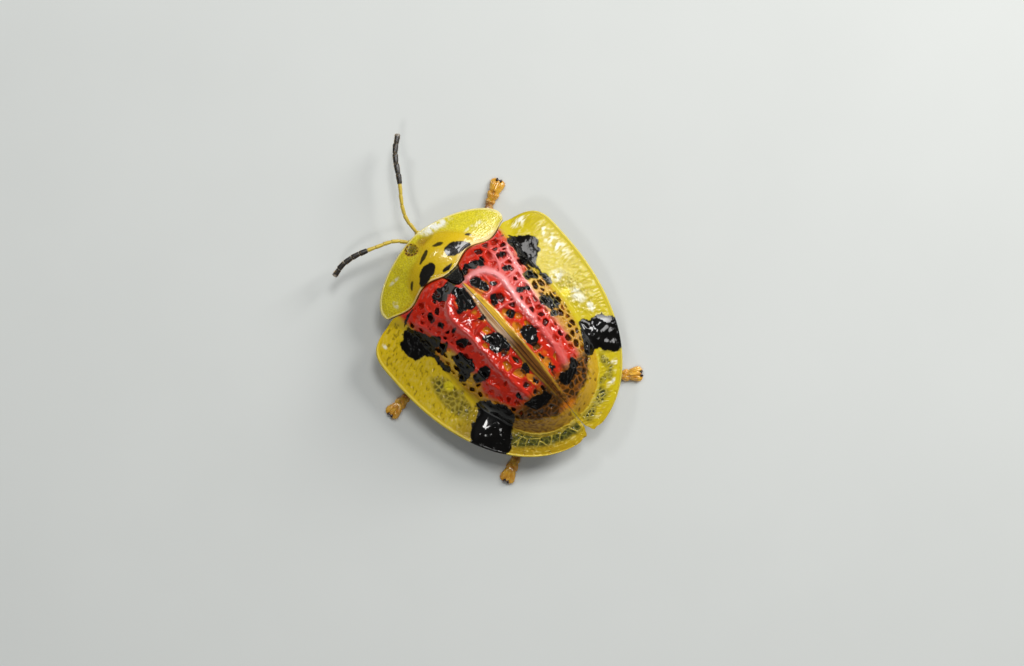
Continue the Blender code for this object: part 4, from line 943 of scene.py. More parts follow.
def makeNeckShield(paint):
    side = np.linspace(-1, 1, neckShield["columns"] + 1)[None, :]
    back = np.linspace(0, 1, neckShield["rows"] + 1)[:, None]
    bend = shield["squareness"]
    turn, power = side * math.radians(86), 2 / bend
    frontX = shield["halfWidth"] * np.sign(side) * np.abs(np.sin(turn)) ** power
    frontY = shield["cornerY"] * (1 - np.cos(turn) ** power)
    rearX = frontX * shield["rearShare"]
    rearY = seamY(rearX)
    x = frontX + (rearX - frontX) * back + shield["sideBulge"] * np.sin(math.pi * back) * side**9
    y = frontY + (rearY - frontY) * back
    mirrored = -x
    level = pronotumZ(x, y)
    across, along = np.abs(x) / shield["halfWidth"], np.maximum(shield["cornerY"] - y, 0) / shield["cornerY"]
    around = (across**bend + along**bend) ** (1 / bend)
    onDisc = blots(mirrored, y, (shieldDisc,), 0.16, 0.03, 61)
    black = blots(mirrored, y, shieldMarks, 0.03, 0.05, 62)
    olive = blots(mirrored, y, [shieldMarks[k] for k in (0, 1, 4, 5)], 0.03, 0.05, 62)
    olive = olive * fade(0.45, 0.98, softNoise(mirrored, y, 0.2, 66) ** 2)
    uneven = roughNoise(mirrored, y, 0.4, 63)
    walls = cellsOf(mirrored, y, 0.13, 64)[0]
    lines = fade(0.008, 0.022, walls)
    nearEdge = smoothStep(0.955, 0.975, around)
    frontBead = bell(around - 0.985, 0.012)
    rearBead = bell(y - rearY + 0.07, 0.035) - 0.6 * bell(y - rearY + 0.16, 0.04)
    relief = 0.008 * lines * (1 - onDisc) * (1 - nearEdge) + 0.03 * frontBead + 0.035 * rearBead
    relief = relief + 0.004 * softNoise(mirrored, y, 0.1, 65) + 0.012 * uneven * (1 - onDisc)
    relief = relief - 0.003 * bell(x, 0.09) * smoothStep(0.8, 1.4, y) - 0.06 * np.exp((y - rearY) / 0.03)
    thickness = neckShield["thickness"] + 0.12 * onDisc
    thickness = thickness + (neckShield["edgeThickness"] - thickness) * nearEdge
    thickness = thickness + 0.4 * np.exp((y - rearY) / 0.14) * smoothStep(3.3, 2.7, np.abs(x))
    fromEye = np.hypot(mirrored + 0.67, y - 0.44)
    clear = fade(0.18, 0.24, np.hypot(mirrored + 0.635, y - 0.444) + 0.02 * uneven)
    clear = np.maximum(clear, 0.45 * fade(0.5, 1.0, np.hypot((mirrored - 0.2) / 0.6, (y - 0.45) / 0.3)))
    ahead = shield["cornerY"] * (1 - np.clip(1 - across**bend, 0, 1) ** (1 / bend))
    # Pale patches of painted sheen: one along the right front edge of the shield, then the listed ones.
    clouds = fade(0.3, 1.0, np.hypot((mirrored - 0.95) / 1.05, (y - ahead - 0.2) / 0.34) + 0.35 * uneven)
    stain = fade(0.4, 1.0, np.hypot((mirrored + 0.08) / 0.42, (y - 0.48) / 0.26) + 0.3 * uneven)
    halo = smoothStep(0.3, 0.7, 1 - clear) * fade(0.28, 0.38, fromEye + 0.06 * uneven)
    flecks = halo * (0.55 + 0.45 * smoothStep(0.006, 0.02, cellsOf(mirrored, y, 0.17, 74, 0.95)[0]))
    stain = np.maximum(0.6 * stain * (1 - clouds), flecks)
    # A pale lip along the rear bead, widened on the beetle's right into a painted highlight.
    paintedLipHighlight = bell(y - rearY + 0.13, 0.11) * smoothStep(0.4, 1.0, mirrored) * smoothStep(3.3, 2.8, mirrored)
    fog = softNoise(mirrored, y, 0.14, 67) + 0.6 * softNoise(mirrored, y, 0.07, 68)
    for placeX, placeY, reachX, reachY in neckShield["clouds"]:
        near = fade(0.2, 1.0, np.hypot((mirrored - placeX) / reachX, (y - placeY) / reachY) + 0.4 * uneven)
        clouds = np.maximum(clouds, near * 0.6)
    clear = clear * (1 - clouds)
    clouds = clouds * smoothStep(-1.1, 0.3, fog)
    marks = {"disc": onDisc, "black": black, "walls": lines, "rim": nearEdge, "clear": clear,
             "clouds": clouds,
             "olive": olive, "stain": stain,
             "seam": smoothStep(-0.035, -0.012, y - rearY), "warm": smoothStep(-2.5, 2.5, x),
             "lip": np.maximum(np.clip(rearBead, 0, 1), paintedLipHighlight)}
    skip = neckShield["skip"]
    shape = sheetShape(x, y, level + relief, level - thickness, skip)
    obj = makeObject("neck_shield", shape, paint,
                     {key: onSheet(values, skip) for key, values in marks.items()})
    settle(obj, "shield", "pronotum")
    print("neck shield", len(obj.data.polygons), "faces")


def neckShieldPaint():
    paint = Paint("amberShield")
    fine, middle = paint.noise(0.07), paint.noise(0.4)
    walls, disc, black = paint.read("walls"), paint.read("disc"), paint.read("black")
    clear, clouds = paint.read("clear"), paint.read("clouds")
    mottled = paint.band(paint.noise(0.12) + middle * 0.4, 0.55, 0.8)
    lemon = paint.mix((0.66, 0.56, 0.01), (0.52, 0.44, 0.007), mottled)
    amber = paint.mix((0.76, 0.64, 0.008), (0.6, 0.48, 0.006), mottled)
    colour = paint.mix(lemon, amber, paint.read("warm"))
    colour = paint.mix(colour, (0.76, 0.68, 0.08), walls * 0.3)
    ochre = paint.mix((0.62, 0.44, 0.007), (0.54, 0.35, 0.006), middle)
    colour = paint.mix(colour, ochre, disc)
    # Painted sheen: pale glare laid over the shield.
    colour = paint.mix(colour, (0.86, 0.86, 0.79), clouds * 0.92)
    colour = paint.mix(colour, (0.78, 0.68, 0.28), paint.read("rim") * (0.75 - clouds * 0.6))
    # Pale lip, partly a painted highlight on the right.
    colour = paint.mix(colour, (0.84, 0.7, 0.36), paint.read("lip") * 0.8)
    colour = paint.mix(colour, (0.1, 0.012, 0.003), paint.read("seam") * 0.9)
    stain = paint.read("stain")
    stained = paint.mix((0.46, 0.24, 0.012), (0.11, 0.038, 0.005), paint.band(stain, 0.62, 0.9))
    colour = paint.mix(colour, stained, stain)
    shade = paint.mix((0.007, 0.006, 0.004), (0.05, 0.038, 0.005), paint.read("olive") * 0.8)
    colour = paint.mix(colour, shade, black)
    solid = (disc - clear).atLeast(black)
    alpha = 0.88 - clear * 0.8 + fine * 0.04
    alpha = alpha.atLeast(solid)
    normal = paint.bump(fine + paint.noise(0.025) * 0.5, 0.004, 0.5)
    return paint.finish(colour=colour, alpha=alpha, roughness=0.22 + fine * 0.12 - black * 0.08,
                        normal=normal,
                        coat=0.45 - clear * 0.4, coatRoughness=0.05, index=1.5, shine=0.3)


# Scutellum, the small black triangle behind the shield

scutellum = {"frontY": 2.36, "reach": 0.87, "halfWidth": 0.11, "spread": 0.4, "thickness": 0.25}


# fills the notch between the wing cases, with the plate itself raised in the middle
def makeScutellum(paint):
    back = np.linspace(1, 0, 61)[:, None]
    side = np.linspace(-1, 1, 81)[None, :]
    x = side * (scutellum["halfWidth"] * (1 - (1 - back) ** 6) + scutellum["spread"] * back)
    y = scutellum["frontY"] + scutellum["reach"] * fade(0, 1, back) + 0 * side
    level = (elytraZ(x, y) - 0.03 - 0.06 * smoothStep(0.6, 1.0, np.abs(side))
             - 0.1 * np.exp(-(y - scutellum["frontY"]) / 0.05))
    plate = fade(-0.03, 0.03, fromOutline(x, y, ((-0.42, 2.5), (0.42, 2.5), (0.08, 3.1), (-0.08, 3.1))))
    relief = (0.07 * plate + 0.015 * softNoise(x, y, 0.12, 71) * (1 - plate)
              + 0.004 * softNoise(x, y, 0.05, 72))
    shape = sheetShape(x, y, level + relief, level - scutellum["thickness"], 4)
    settle(makeObject("scutellum_plate", shape, paint), "black_shell", "scutellum")


def blackPaint():
    paint = Paint("glossyBlack")
    fine = paint.noise(0.06)
    colour = paint.mix((0.003, 0.003, 0.002), (0.014, 0.009, 0.006), fine ** 3)
    return paint.finish(colour=colour, roughness=0.18 + fine * 0.15, normal=paint.bump(fine, 0.004, 0.5),
                        coat=0.5, coatRoughness=0.08)


# Underside of thorax and abdomen

body = {
    "halfWidth": 2.62, "centreY": 5.6, "halfLength": 5.5, "squareness": 2.6, "frontY": 1.35, "waistY": 7.3,
    "rearY": 10.85, "bellyZ": 1.15, "sideLift": 0.3, "keelHalfWidth": 0.6, "columns": 120, "thoraxRows": 200,
    "abdomenRows": 160, "ventrites": 5, "underShell": 0.5, "skip": 4,
}


def bodyGrid(frontY, rearY, rows):
    back = np.linspace(0, 1, rows + 1)[:, None]
    side = np.sin(np.linspace(-1, 1, body["columns"] + 1) * math.pi / 2)[None, :]
    y = frontY + (rearY - frontY) * back + 0 * side
    fromMiddle = np.abs(y - body["centreY"]) / body["halfLength"]
    x = side * body["halfWidth"] * np.sqrt(1 - fromMiddle ** body["squareness"])
    y = y - 0.5 * side**2 * smoothStep(9.4, 10.85, y) + 0.25 * side**4 * fade(1.35, 2.0, y)
    outside = np.maximum(np.abs(x) - body["keelHalfWidth"], 0) / (body["halfWidth"] - body["keelHalfWidth"])
    belly = body["bellyZ"] + body["sideLift"] * outside**2 + 0.6 * smoothStep(0.75, 1.0, np.abs(side)) ** 2
    belly = belly + 0.6 * fade(1.35, 2.2, y) * smoothStep(0.3, 1.3, np.abs(x))
    belly = belly + 0.3 * smoothStep(9.6, 10.9, y) ** 2
    roof = np.where(y < 2.4, np.minimum(pronotumZ(x, y), elytraZ(x, y)), elytraZ(x, y)) - body["underShell"]
    return x, y, side + 0 * x, back + 0 * x, belly, np.maximum(roof, belly + 0.3)


def makeUnderside(paint):
    x, y, side, back, belly, roof = bodyGrid(body["frontY"], body["waistY"] + 0.02, body["thoraxRows"])
    grooves = bell(y - 3.6 - 0.12 * np.cos(x * 1.4), 0.045)
    grooves = grooves + bell(y - 5.7 + 0.1 * np.cos(x * 1.2), 0.045)
    keel = -0.06 * bell(np.abs(x) - 0.25, 0.1) * smoothStep(1.5, 2.2, y) * fade(5.4, 6, y)
    midline = 0.05 * bell(x, 0.035) * smoothStep(5.6, 6.0, y)
    for hipX, hipY in ((0.8, 2.6), (1.15, 4.7), (1.1, 6.7)):
        near = np.hypot((np.abs(x) - hipX * 0.75) / 0.5, (y - hipY + 0.06) / 0.42)
        grooves = grooves + 0.9 * fade(0.6, 1.2, near) - 0.35 * bell(near - 1.25, 0.16)
    plates = 0.06 * np.exp(-((fromLine(np.abs(x), y, ((1.9, 3.7), (1.7, 5.0), (2.3, 7.2))) / 0.05) ** 2))
    relief = 0.1 * grooves + keel + midline + plates + 0.006 * softNoise(x, y, 0.07, 81)
    pores = smoothStep(0.03, 0.0, cellsOf(x, y, 0.2, 82, 0.9)[0] - 0.06)
    relief = relief + 0.012 * (1 - pores) * smoothStep(0.5, 0.9, np.abs(x))
    obj = makeObject("thorax_underside", sheetShape(x, y, belly + relief, roof, body["skip"]), paint)
    settle(obj, "underside", "thorax")
    x, y, side, back, belly, roof = bodyGrid(body["waistY"], body["rearY"], body["abdomenRows"])
    step = back * body["ventrites"]
    within = step - np.floor(step)
    overlap = 0.1 * smoothStep(0.86, 1.0, within) - 0.02 * smoothStep(0.0, 0.8, within)
    relief = overlap + 0.006 * softNoise(x, y, 0.06, 83) + 0.01 * roughNoise(x, y, 0.3, 84)
    pits = 0.025 * bell(np.abs(side) - 0.8, 0.05) * np.sin(math.pi * within) ** 2
    skip = body["skip"]
    hairy = np.concatenate([(1 - smoothStep(0.8, 0.95, within) + 0 * x).ravel(),
                            np.zeros(roof[::skip, ::skip].size)])
    shape = sheetShape(x, y, belly + relief + pits, roof, skip)
    obj = makeObject("abdomen_underside", shape, paint, {"hairy": hairy})
    settle(obj, "underside", "abdomen")
    print("underside done")
    return obj


def skinPaint(name, light, dark, roughness=0.3, depth=0.005, coat=0.4):
    paint = Paint(name)
    fine, middle = paint.noise(0.07), paint.noise(0.35)
    colour = paint.mix(light, dark, paint.band(middle + fine * 0.3, 0.4, 0.85))
    return paint.finish(colour=colour, roughness=roughness + fine * 0.15,
                        normal=paint.bump(fine, depth, 0.5),
                        coat=coat, coatRoughness=0.1)


# Hairs, strewn over the hairy places of a piece

hairInputs = (("Density", "Float", 60e6), ("Length", "Float", 0.00012), ("Thickness", "Float", 0.000012),
              ("Lean", "Vector", None), ("Seed", "Int", 3), ("Paint", "Material", None))


def buildHairs(maker, given):
    where = maker.add("GeometryNodeInputNamedAttribute", {"data_type": "FLOAT"}, {"Name": "hairy"})
    strewn = maker.add("GeometryNodeDistributePointsOnFaces", {"distribute_method": "RANDOM"},
                       {"Mesh": given["Geometry"], "Density": where * given["Density"],
                        "Seed": given["Seed"]})
    normal = Wire(maker, strewn.socket.node.outputs["Normal"])
    leaning = maker.add("ShaderNodeVectorMath", {"operation": "ADD"}, {0: normal, 1: given["Lean"]})
    turn = maker.add("FunctionNodeAlignRotationToVector", {"axis": "Z"}, {"Vector": leaning})
    hair = maker.add("GeometryNodeMeshCone", {"fill_type": "NONE"},
                     {"Vertices": 4, "Radius Top": 0.0, "Radius Bottom": given["Thickness"] * 0.5,
                      "Depth": given["Length"]})
    size = maker.add("FunctionNodeRandomValue", {"data_type": "FLOAT"},
                     {2: 0.6, 3: 1.2, "Seed": given["Seed"]}, 1)
    placed = maker.add("GeometryNodeInstanceOnPoints", {},
                       {"Points": strewn, "Instance": hair, "Rotation": turn, "Scale": size})
    solid = maker.add("GeometryNodeRealizeInstances", {}, {"Geometry": placed})
    return maker.add("GeometryNodeSetMaterial", {}, {"Geometry": solid, "Material": given["Paint"]})


def growHairs(name, base, tree, slot, **values):
    obj = grown(name, base, tree, values)
    settle(obj, slot)
    print(name, len(obj.data.polygons), "faces")


# Legs: coxa, femur, tibia, a foot of flat lobed pads, and a pair of claws

legPlans = {
    "front_left": ((0.8, 2.6), (2.7, 2.2), (3.35, 3.6), (4.55, 3.2)),
    "front_right": ((-0.8, 2.6), (-2.95, 3.1), (-3.62, 1.15), (-4.95, 0.5)),
    "middle_left": ((1.15, 4.7), (3.3, 4.35), (5.2, 5.4), (6.66, 5.55)),
    "middle_right": ((-1.15, 4.7), (-3.15, 4.1), (-3.05, 5.9), (-3.8, 6.95)),
    "hind_left": ((1.1, 6.7), (3.05, 8.7), (3.25, 11.05), (4.6, 11.65)),
    "hind_right": ((-1.1, 6.7), (-2.95, 8.9), (-2.7, 11.3), (-3.9, 12.15)),
}
leg = {
    "hipZ": 0.62, "kneeZ": 0.78, "ankleZ": 0.32, "femur": (0.3, 0.46, 0.6, 0.64, 0.58, 0.44, 0.32),
    "tibia": (0.24, 0.26, 0.27, 0.3, 0.36, 0.42, 0.38), "coxa": (0.7, 0.74, 0.56, 0.3), "sides": 30,
    "pads": ((0.12, 0.28, 0.27, 0.2, 0.06), (0.36, 0.3, 0.35, 0.2, 0.12), (0.68, 0.45, 0.43, 0.19, 0.17)),
    "claw": (0.14, 0.14, 0.11, 0.07, 0.03), "clawSpread": 0.14,
}


def padShape(centre, ahead, halfLength, halfWidth, height, notch):  # one flat, two-lobed joint of a foot
    ahead = np.append(ahead, 0.0)
    across = np.array([-ahead[1], ahead[0], 0.0])

    def surface(way):
        q, p, s = way[:, 0], way[:, 1], way[:, 2]
        q, p = np.sign(q) * np.abs(q) ** 0.72, np.sign(p) * np.abs(p) ** 0.75
        widen = 0.48 + 0.52 * smoothStep(-1.2, 1.1, q)
        along = halfLength * q - notch * bell(p, 0.2) * smoothStep(0.1, 0.9, q)
        lobes = 0.75 + 0.25 * bell(np.abs(p) - 0.5, 0.26) * smoothStep(-0.6, 0.4, q)
        lobes = lobes * (1 - 0.3 * smoothStep(0.2, 1.0, q))
        ribs = 1 + 0.1 * np.cos(p * 29 + 2.0 * q * p) * smoothStep(-0.7, -0.1, q)
        up = np.where(s > 0, s * height * lobes * ribs, s * 0.12)
        return (centre + along[:, None] * ahead + (halfWidth * p * widen)[:, None] * across
                + up[:, None] * (0.0, 0.0, 1.0))
    return orbShape(surface, 40, 96)


def makeLeg(name, plan, paint, clawPaint):
    hip, knee, ankle, toe = (np.array([*stop, 0.0]) for stop in plan)
    hip[2], knee[2], ankle[2] = leg["hipZ"], leg["kneeZ"], leg["ankleZ"]
    foot = toe[:2] - ankle[:2]
    ahead = foot / np.linalg.norm(foot)
    shapes, hairy = [], []
    root = hip * (0.72, 1.0, 1.0) + (0.0, -0.08, 0.72)
    coxa = curveThrough((root, hip * (0.82, 1.0, 1.0) + (0.0, -0.03, 0.38), hip + (0.0, 0.0, 0.02)),
                        np.linspace(0, 1, 17))
    shapes.append(tubeShape(coxa, np.interp(np.linspace(0, 1, 17), (0, 0.35, 0.7, 1), leg["coxa"]), 32,
                            0.85))
    shapes.append(orbShape(lambda way: hip + way * (0.21, 0.21, 0.19), 16, 24))
    bow = np.array([0.0, 0.0, 0.04])
    femur = curveThrough((hip, (hip + knee) / 2 + bow, knee), np.linspace(0, 1, 25))
    shapes.append(tubeShape(femur, np.interp(np.linspace(0, 1, 25), np.linspace(0, 1, 7), leg["femur"]),
                            leg["sides"], 0.76,
                            ridges=(3, 0.05)))
    shapes.append(orbShape(lambda way: knee + way * (0.2, 0.2, 0.17), 16, 24))
    sideways = np.array([-(ankle - knee)[1], (ankle - knee)[0], 0.0]) * 0.03
    tibia = curveThrough((knee, (knee + ankle) / 2 + sideways, ankle), np.linspace(0, 1, 25))
    shapes.append(tubeShape(tibia, np.interp(np.linspace(0, 1, 25), np.linspace(0, 1, 7), leg["tibia"]),
                            leg["sides"], 0.85,
                            ridges=(5, 0.07)))
    hairy += [np.zeros(len(shape[0])) for shape in shapes]
    hairy[-1] = smoothStep(0.7, 1.0, np.linalg.norm(shapes[-1][0] - knee, axis=1)
                           / np.linalg.norm(ankle - knee)) * 0.6
    shin = (ankle - knee) / np.linalg.norm(ankle - knee)
    sidelong = np.array([-shin[1], shin[0], 0.0])
    for hand in (-1, 1):
        start = ankle - 0.16 * shin + hand * 0.13 * sidelong + (0.0, 0.0, 0.02)
        spur = np.linspace(start, start + 0.22 * shin + hand * 0.05 * sidelong - (0.0, 0.0, 0.03), 7)
        shapes.append(tubeShape(spur, np.linspace(0.07, 0.02, 7), 10))
        hairy.append(np.zeros(len(shapes[-1][0])))
    for share, halfLength, halfWidth, height, notch in leg["pads"]:
        centre = np.array([*(ankle[:2] + foot * share), 0.12])
        shapes.append(padShape(centre, ahead, halfLength, halfWidth, height, notch))
        height = shapes[-1][0][:, 2]
        hairy.append(np.where((height > 0.11) & (height < 0.19), 1.0, 0.15 * (height > 0.11)))
    root, tip = np.array([*(ankle[:2] + foot * 0.55), 0.3]), np.array([*(ankle[:2] + foot * 0.9), 0.2])
    shapes.append(tubeShape(np.linspace(root, tip, 9), np.linspace(0.12, 0.19, 9), 20))
    hairy.append(np.zeros(len(shapes[-1][0])))
    shape = together(shapes)
    joints = np.min([np.linalg.norm(shape[0] - place, axis=1)
                     for place in (hip, knee, ankle, hip + (0, 0, 0.3))], axis=0)
    marks = {"hairy": np.concatenate(hairy), "joint": 1 - smoothStep(0.16, 0.42, joints)}
    obj = makeObject("leg_parts_" + name, shape, paint, marks)
    settle(obj, "leg", "leg_" + name)
    across = np.array([-ahead[1], ahead[0], 0.0])
    hooks = []
    for hand in (-1, 1):
        stops = (tip - 0.02 * np.append(ahead, 0), tip + 0.45 * (toe - tip) * (1, 1, 0) + across * hand * 0.1
                 + (0, 0, 0.03),
                 toe * (1, 1, 0) + across * hand * leg["clawSpread"] * 0.75 + (0, 0, 0.06))
        path = curveThrough(stops, np.linspace(0, 1, 15))
        widths = np.interp(np.linspace(0, 1, 15), np.linspace(0, 1, 5), leg["claw"])
        hooks.append(tubeShape(path, widths, 16))
    settle(makeObject("claws_" + name, together(hooks), clawPaint), "leg")
    return obj


def legPaint():
    paint = Paint("orangeLegs")
    fine, middle = paint.noise(0.06), paint.noise(0.28)
    colour = paint.mix((0.76, 0.42, 0.04), (0.52, 0.22, 0.012), paint.band(middle + fine * 0.25, 0.4, 0.85))
    colour = paint.mix(colour, (0.2, 0.06, 0.01), paint.read("joint") * 0.75)
    return paint.finish(colour=colour, roughness=0.16 + fine * 0.16, normal=paint.bump(fine, 0.006, 0.5),
                        coat=0.6,
                        coatRoughness=0.08, glow=0.1, glowScale=0.0002)


# Antennae: eleven joints each, the last five thicker and black

antenna = {"segments": 11, "stem": 0.19, "club": 0.27, "sides": 20, "clubFrom": 5.5,
           "firstJointExtra": 0.00009}
antennaRoutes = {
    "left": ((0.27, 0.32, 1.4), (0.45, 0.02, 1.36), (0.97, -0.5, 1.5), (1.7, -0.8, 1.66), (2.55, -1.1, 1.7),
             (3.04, -1.22, 1.66), (3.6, -1.25, 1.6), (4.17, -1.11, 1.5)),
    "right": ((-0.05, 0.32, 1.4), (-0.15, 0.02, 1.36), (-0.17, -0.8, 1.55), (-0.45, -1.5, 1.68),
              (-1.07, -2.38, 1.7),
              (-1.45, -3.0, 1.64), (-1.9, -3.65, 1.54), (-2.57, -4.22, 1.4)),
}


def buildAntenna(maker, given):
    curve = maker.add("GeometryNodeMeshToCurve", {}, {"Mesh": given["Geometry"]})
    even = maker.add("GeometryNodeResampleCurve", {}, {"Curve": curve, "Count": given["Segments"]})
    turn = maker.add("FunctionNodeAlignRotationToVector", {"axis": "Z"},
                     {"Vector": maker.add("GeometryNodeInputTangent")})
    index = maker.add("GeometryNodeInputIndex")
    club = index > antenna["clubFrom"]
    width = (given["Stem"] + (given["Club"] - given["Stem"]) * club
             + (index < 0.5) * antenna["firstJointExtra"])
    size = maker.add("ShaderNodeCombineXYZ", {}, {0: width, 1: width, 2: given["Pitch"]})
    form = maker.add("GeometryNodeObjectInfo", {}, {"Object": given["Segment"]}, output="Geometry")
    placed = maker.add("GeometryNodeInstanceOnPoints", {},
                       {"Points": even, "Instance": form, "Rotation": turn, "Scale": size})
    marked = maker.add("GeometryNodeStoreNamedAttribute", {"data_type": "FLOAT", "domain": "INSTANCE"},
                       {"Geometry": placed, "Name": "hairy", "Value": index * 0.1})
    solid = maker.add("GeometryNodeRealizeInstances", {}, {"Geometry": marked})
    return maker.add("GeometryNodeSetMaterial", {}, {"Geometry": solid, "Material": given["Paint"]})


def makeAntennae(paint):
    heights = np.array((-0.5, -0.485, -0.45, -0.38, -0.2, 0.05, 0.3, 0.42, 0.47, 0.49, 0.5))
    widths = np.array((0.3, 0.37, 0.41, 0.44, 0.46, 0.485, 0.5, 0.49, 0.45, 0.38, 0.2))
    turn = 2 * math.pi * np.arange(antenna["sides"]) / antenna["sides"]
    rings = [np.stack([w * np.cos(turn), w * np.sin(turn), 0 * turn + h], -1) for h,
             w in zip(heights, widths)]
    points, blocks = loftShape(rings, ((0, 0, -0.51), (0, 0, 0.51)))
    segment = makeObject("segmentForm", ((points - origin) / millimetre, blocks), paint,
                         {"tip": points[:, 2]})
    tree = growTree("antennaJoints", (("Segment", "Object", None), ("Segments", "Int", 11),
                                      ("Stem", "Float", 0.00024),
                                      ("Club", "Float", 0.00033), ("Pitch", "Float", 0.0005),
                                      ("Paint", "Material", None)), buildAntenna)
    made = []
    for hand, route in antennaRoutes.items():
        whole = np.linalg.norm(np.diff(curveThrough(route, np.linspace(0, 1, 200)), axis=0), axis=1).sum()
        half = 0.5 / antenna["segments"]
        path = curveThrough(route, np.linspace(half, 1 - half, 80))
        mesh = bpy.data.meshes.new("path")
        mesh.from_pydata([tuple(p) for p in path * millimetre + origin], [(i, i + 1) for i in range(79)], [])
        line = addObject("path", mesh)
        pitch = whole / antenna["segments"] * millimetre
        obj = grown("antenna_joints_" + hand, line, tree, {
            "Segment": segment, "Segments": antenna["segments"], "Stem": antenna["stem"] * millimetre,
            "Club": antenna["club"] * millimetre, "Pitch": pitch * 1.01, "Paint": paint})
        obj.data.shade_smooth()
        discard(line)
        settle(obj, "antenna", "antenna_" + hand)
        made.append(obj)
        print("antenna", hand, len(obj.data.polygons), "faces")
    discard(segment)
    return made


def antennaPaint():
    paint = Paint("yellowAndBlackFeelers")
    fine, along = paint.noise(0.05), paint.read("hairy")
    yellow = paint.mix((0.6, 0.46, 0.05), (0.46, 0.31, 0.02), paint.noise(0.2))
    colour = paint.mix(yellow, (0.012, 0.009, 0.006), paint.band(along, 0.5, 0.6))
    colour = paint.mix(colour, (0.22, 0.19, 0.15),
                       paint.band(along, 0.96, 0.99) * paint.band(paint.read("tip"), 0.15, 0.4))
    colour = paint.mix(colour, (0.35, 0.3, 0.2),
                       paint.band(along, 0.5, 0.6) * paint.band(paint.read("tip"), -0.42, -0.5) * 0.8)
    return paint.finish(colour=colour, roughness=0.35 + fine * 0.15, normal=paint.bump(fine, 0.006, 0.6),
                        coat=0.2,
                        coatRoughness=0.2)


# Head, eyes and mouthparts

headForm = {
    "centre": (0.1, 0.66, 1.34), "radii": (0.52, 0.42, 0.5), "eyeX": 0.48, "eyeY": -0.13, "eyeZ": 0.1,
    "eyeRadii": (0.27, 0.33, 0.37), "facet": 0.047, "facetsFrom": 0.12,
}


def makeHead(paint, darkPaint):
    centre, radii = np.array(headForm["centre"]), np.array(headForm["radii"])

    def surface(way):
        x, y, z = way.T
        ahead = smoothStep(-0.1, -0.7, y)
        swell = 0.05 * np.exp(-(((np.abs(x) - 0.3) / 0.16) ** 2) - ((z - 0.2) / 0.2) ** 2) * ahead
        swell = swell + 0.07 * np.exp(-((x / 0.34) ** 2) - ((z + 0.45) / 0.26) ** 2) * ahead
        swell = swell - 0.035 * bell(x, 0.05) * smoothStep(-0.1, 0.4, z) * ahead
        groove = np.abs(z + 0.12 + 0.5 * np.abs(x))
        swell = swell - 0.03 * bell(groove, 0.05) * ahead * (np.abs(x) < 0.5)
        swell = swell + 0.004 * softNoise(x * 3 + y, z * 3 + y, 0.16, 91)
        narrow = 1 - 0.3 * smoothStep(0.1, -1.0, z)
        grown = way * radii * np.stack([narrow, np.ones_like(x), np.ones_like(x)], -1)
        return centre + grown + way * swell[:, None]
    capsule = orbShape(surface, 110, 150)
    obj = makeObject("head_capsule", capsule, paint)
    settle(obj, "face", "head")

    mouth = np.array((centre[0], centre[1] - 0.14, 0.72))
    shapes = [orbShape(lambda way: mouth + way * (0.27, 0.22, 0.24), 24, 36)]
    labrum = centre + (0.0, -0.4, -0.33)
    shapes.append(orbShape(lambda way: labrum + np.sign(way) * np.abs(way) ** 0.7 * (0.19, 0.07, 0.09), 20,
                           36))
    for hand in (-1, 1):
        for reach, start, width in ((0.34, (0.17, -0.12, -0.02), 0.13), (0.2, (0.07, -0.14, -0.1), 0.09)):
            root = mouth + np.array(start) * (hand, 1, 1)
            stops = (root, root + (hand * 0.1, -reach * 0.5, -0.1), root + (hand * 0.05, -reach, -0.2))
            shares = np.linspace(0, 1, 31)
            joints = 0.78 + 0.22 * np.abs(np.sin(shares * math.pi * 3)) ** 0.5
            shapes.append(tubeShape(curveThrough(stops, shares), width * joints * (1 - 0.35 * shares), 18))
    obj = makeObject("mouth_and_palps", together(shapes), paint)
    settle(obj, "face", "mouthparts")
    jaws = []
    for hand in (-1, 1):
        root = mouth + (hand * 0.16, -0.12, 0.06)
        stops = (root, root + (hand * 0.02, -0.12, -0.05), root + (-hand * 0.1, -0.2, -0.1))
        jaws.append(tubeShape(curveThrough(stops, np.linspace(0, 1, 15)), np.linspace(0.14, 0.04, 15), 18))
    settle(makeObject("jaws", together(jaws), darkPaint), "face")


def buildFacets(maker, given):
    spots = maker.add("GeometryNodeMeshToPoints", {"mode": "VERTICES"}, {"Mesh": given["Geometry"]})
    turn = maker.add("FunctionNodeAlignRotationToVector", {"axis": "Z"},
                     {"Vector": maker.add("GeometryNodeInputNormal")})
    kept = maker.add("GeometryNodeStoreNamedAttribute", {"data_type": "QUATERNION", "domain": "POINT"},
                     {"Geometry": given["Geometry"], "Name": "turned", "Value": turn})
    maker.feed(spots.socket.node.inputs["Mesh"], kept)
    turned = maker.add("GeometryNodeInputNamedAttribute", {"data_type": "QUATERNION"}, {"Name": "turned"})
    dome = maker.add("GeometryNodeMeshUVSphere", {}, {"Radius": given["Facet"], "Segments": 8, "Rings": 5})
    flat = maker.add("GeometryNodeTransform", {}, {"Geometry": dome, "Scale": (1.0, 1.0, 0.55)})
    placed = maker.add("GeometryNodeInstanceOnPoints", {},
                       {"Points": spots, "Instance": flat, "Rotation": turned})
    solid = maker.add("GeometryNodeRealizeInstances", {}, {"Geometry": placed})
    soft = maker.add("GeometryNodeSetShadeSmooth", {}, {"Geometry": solid})
    return maker.add("GeometryNodeSetMaterial", {}, {"Geometry": soft, "Material": given["Paint"]})


def facetsPaint():
    paint = Paint("goldenFacets")
    blotches = paint.noise(0.11, 2.0)
    colour = paint.mix((0.92, 0.58, 0.09), (0.07, 0.02, 0.004), paint.band(paint.cells(0.13), 0.05, 0.11))
    return paint.finish(colour=colour, roughness=0.1 + blotches * 0.1,
                        normal=paint.bump(blotches, 0.002, 0.3), coat=0.5,
                        coatRoughness=0.05)


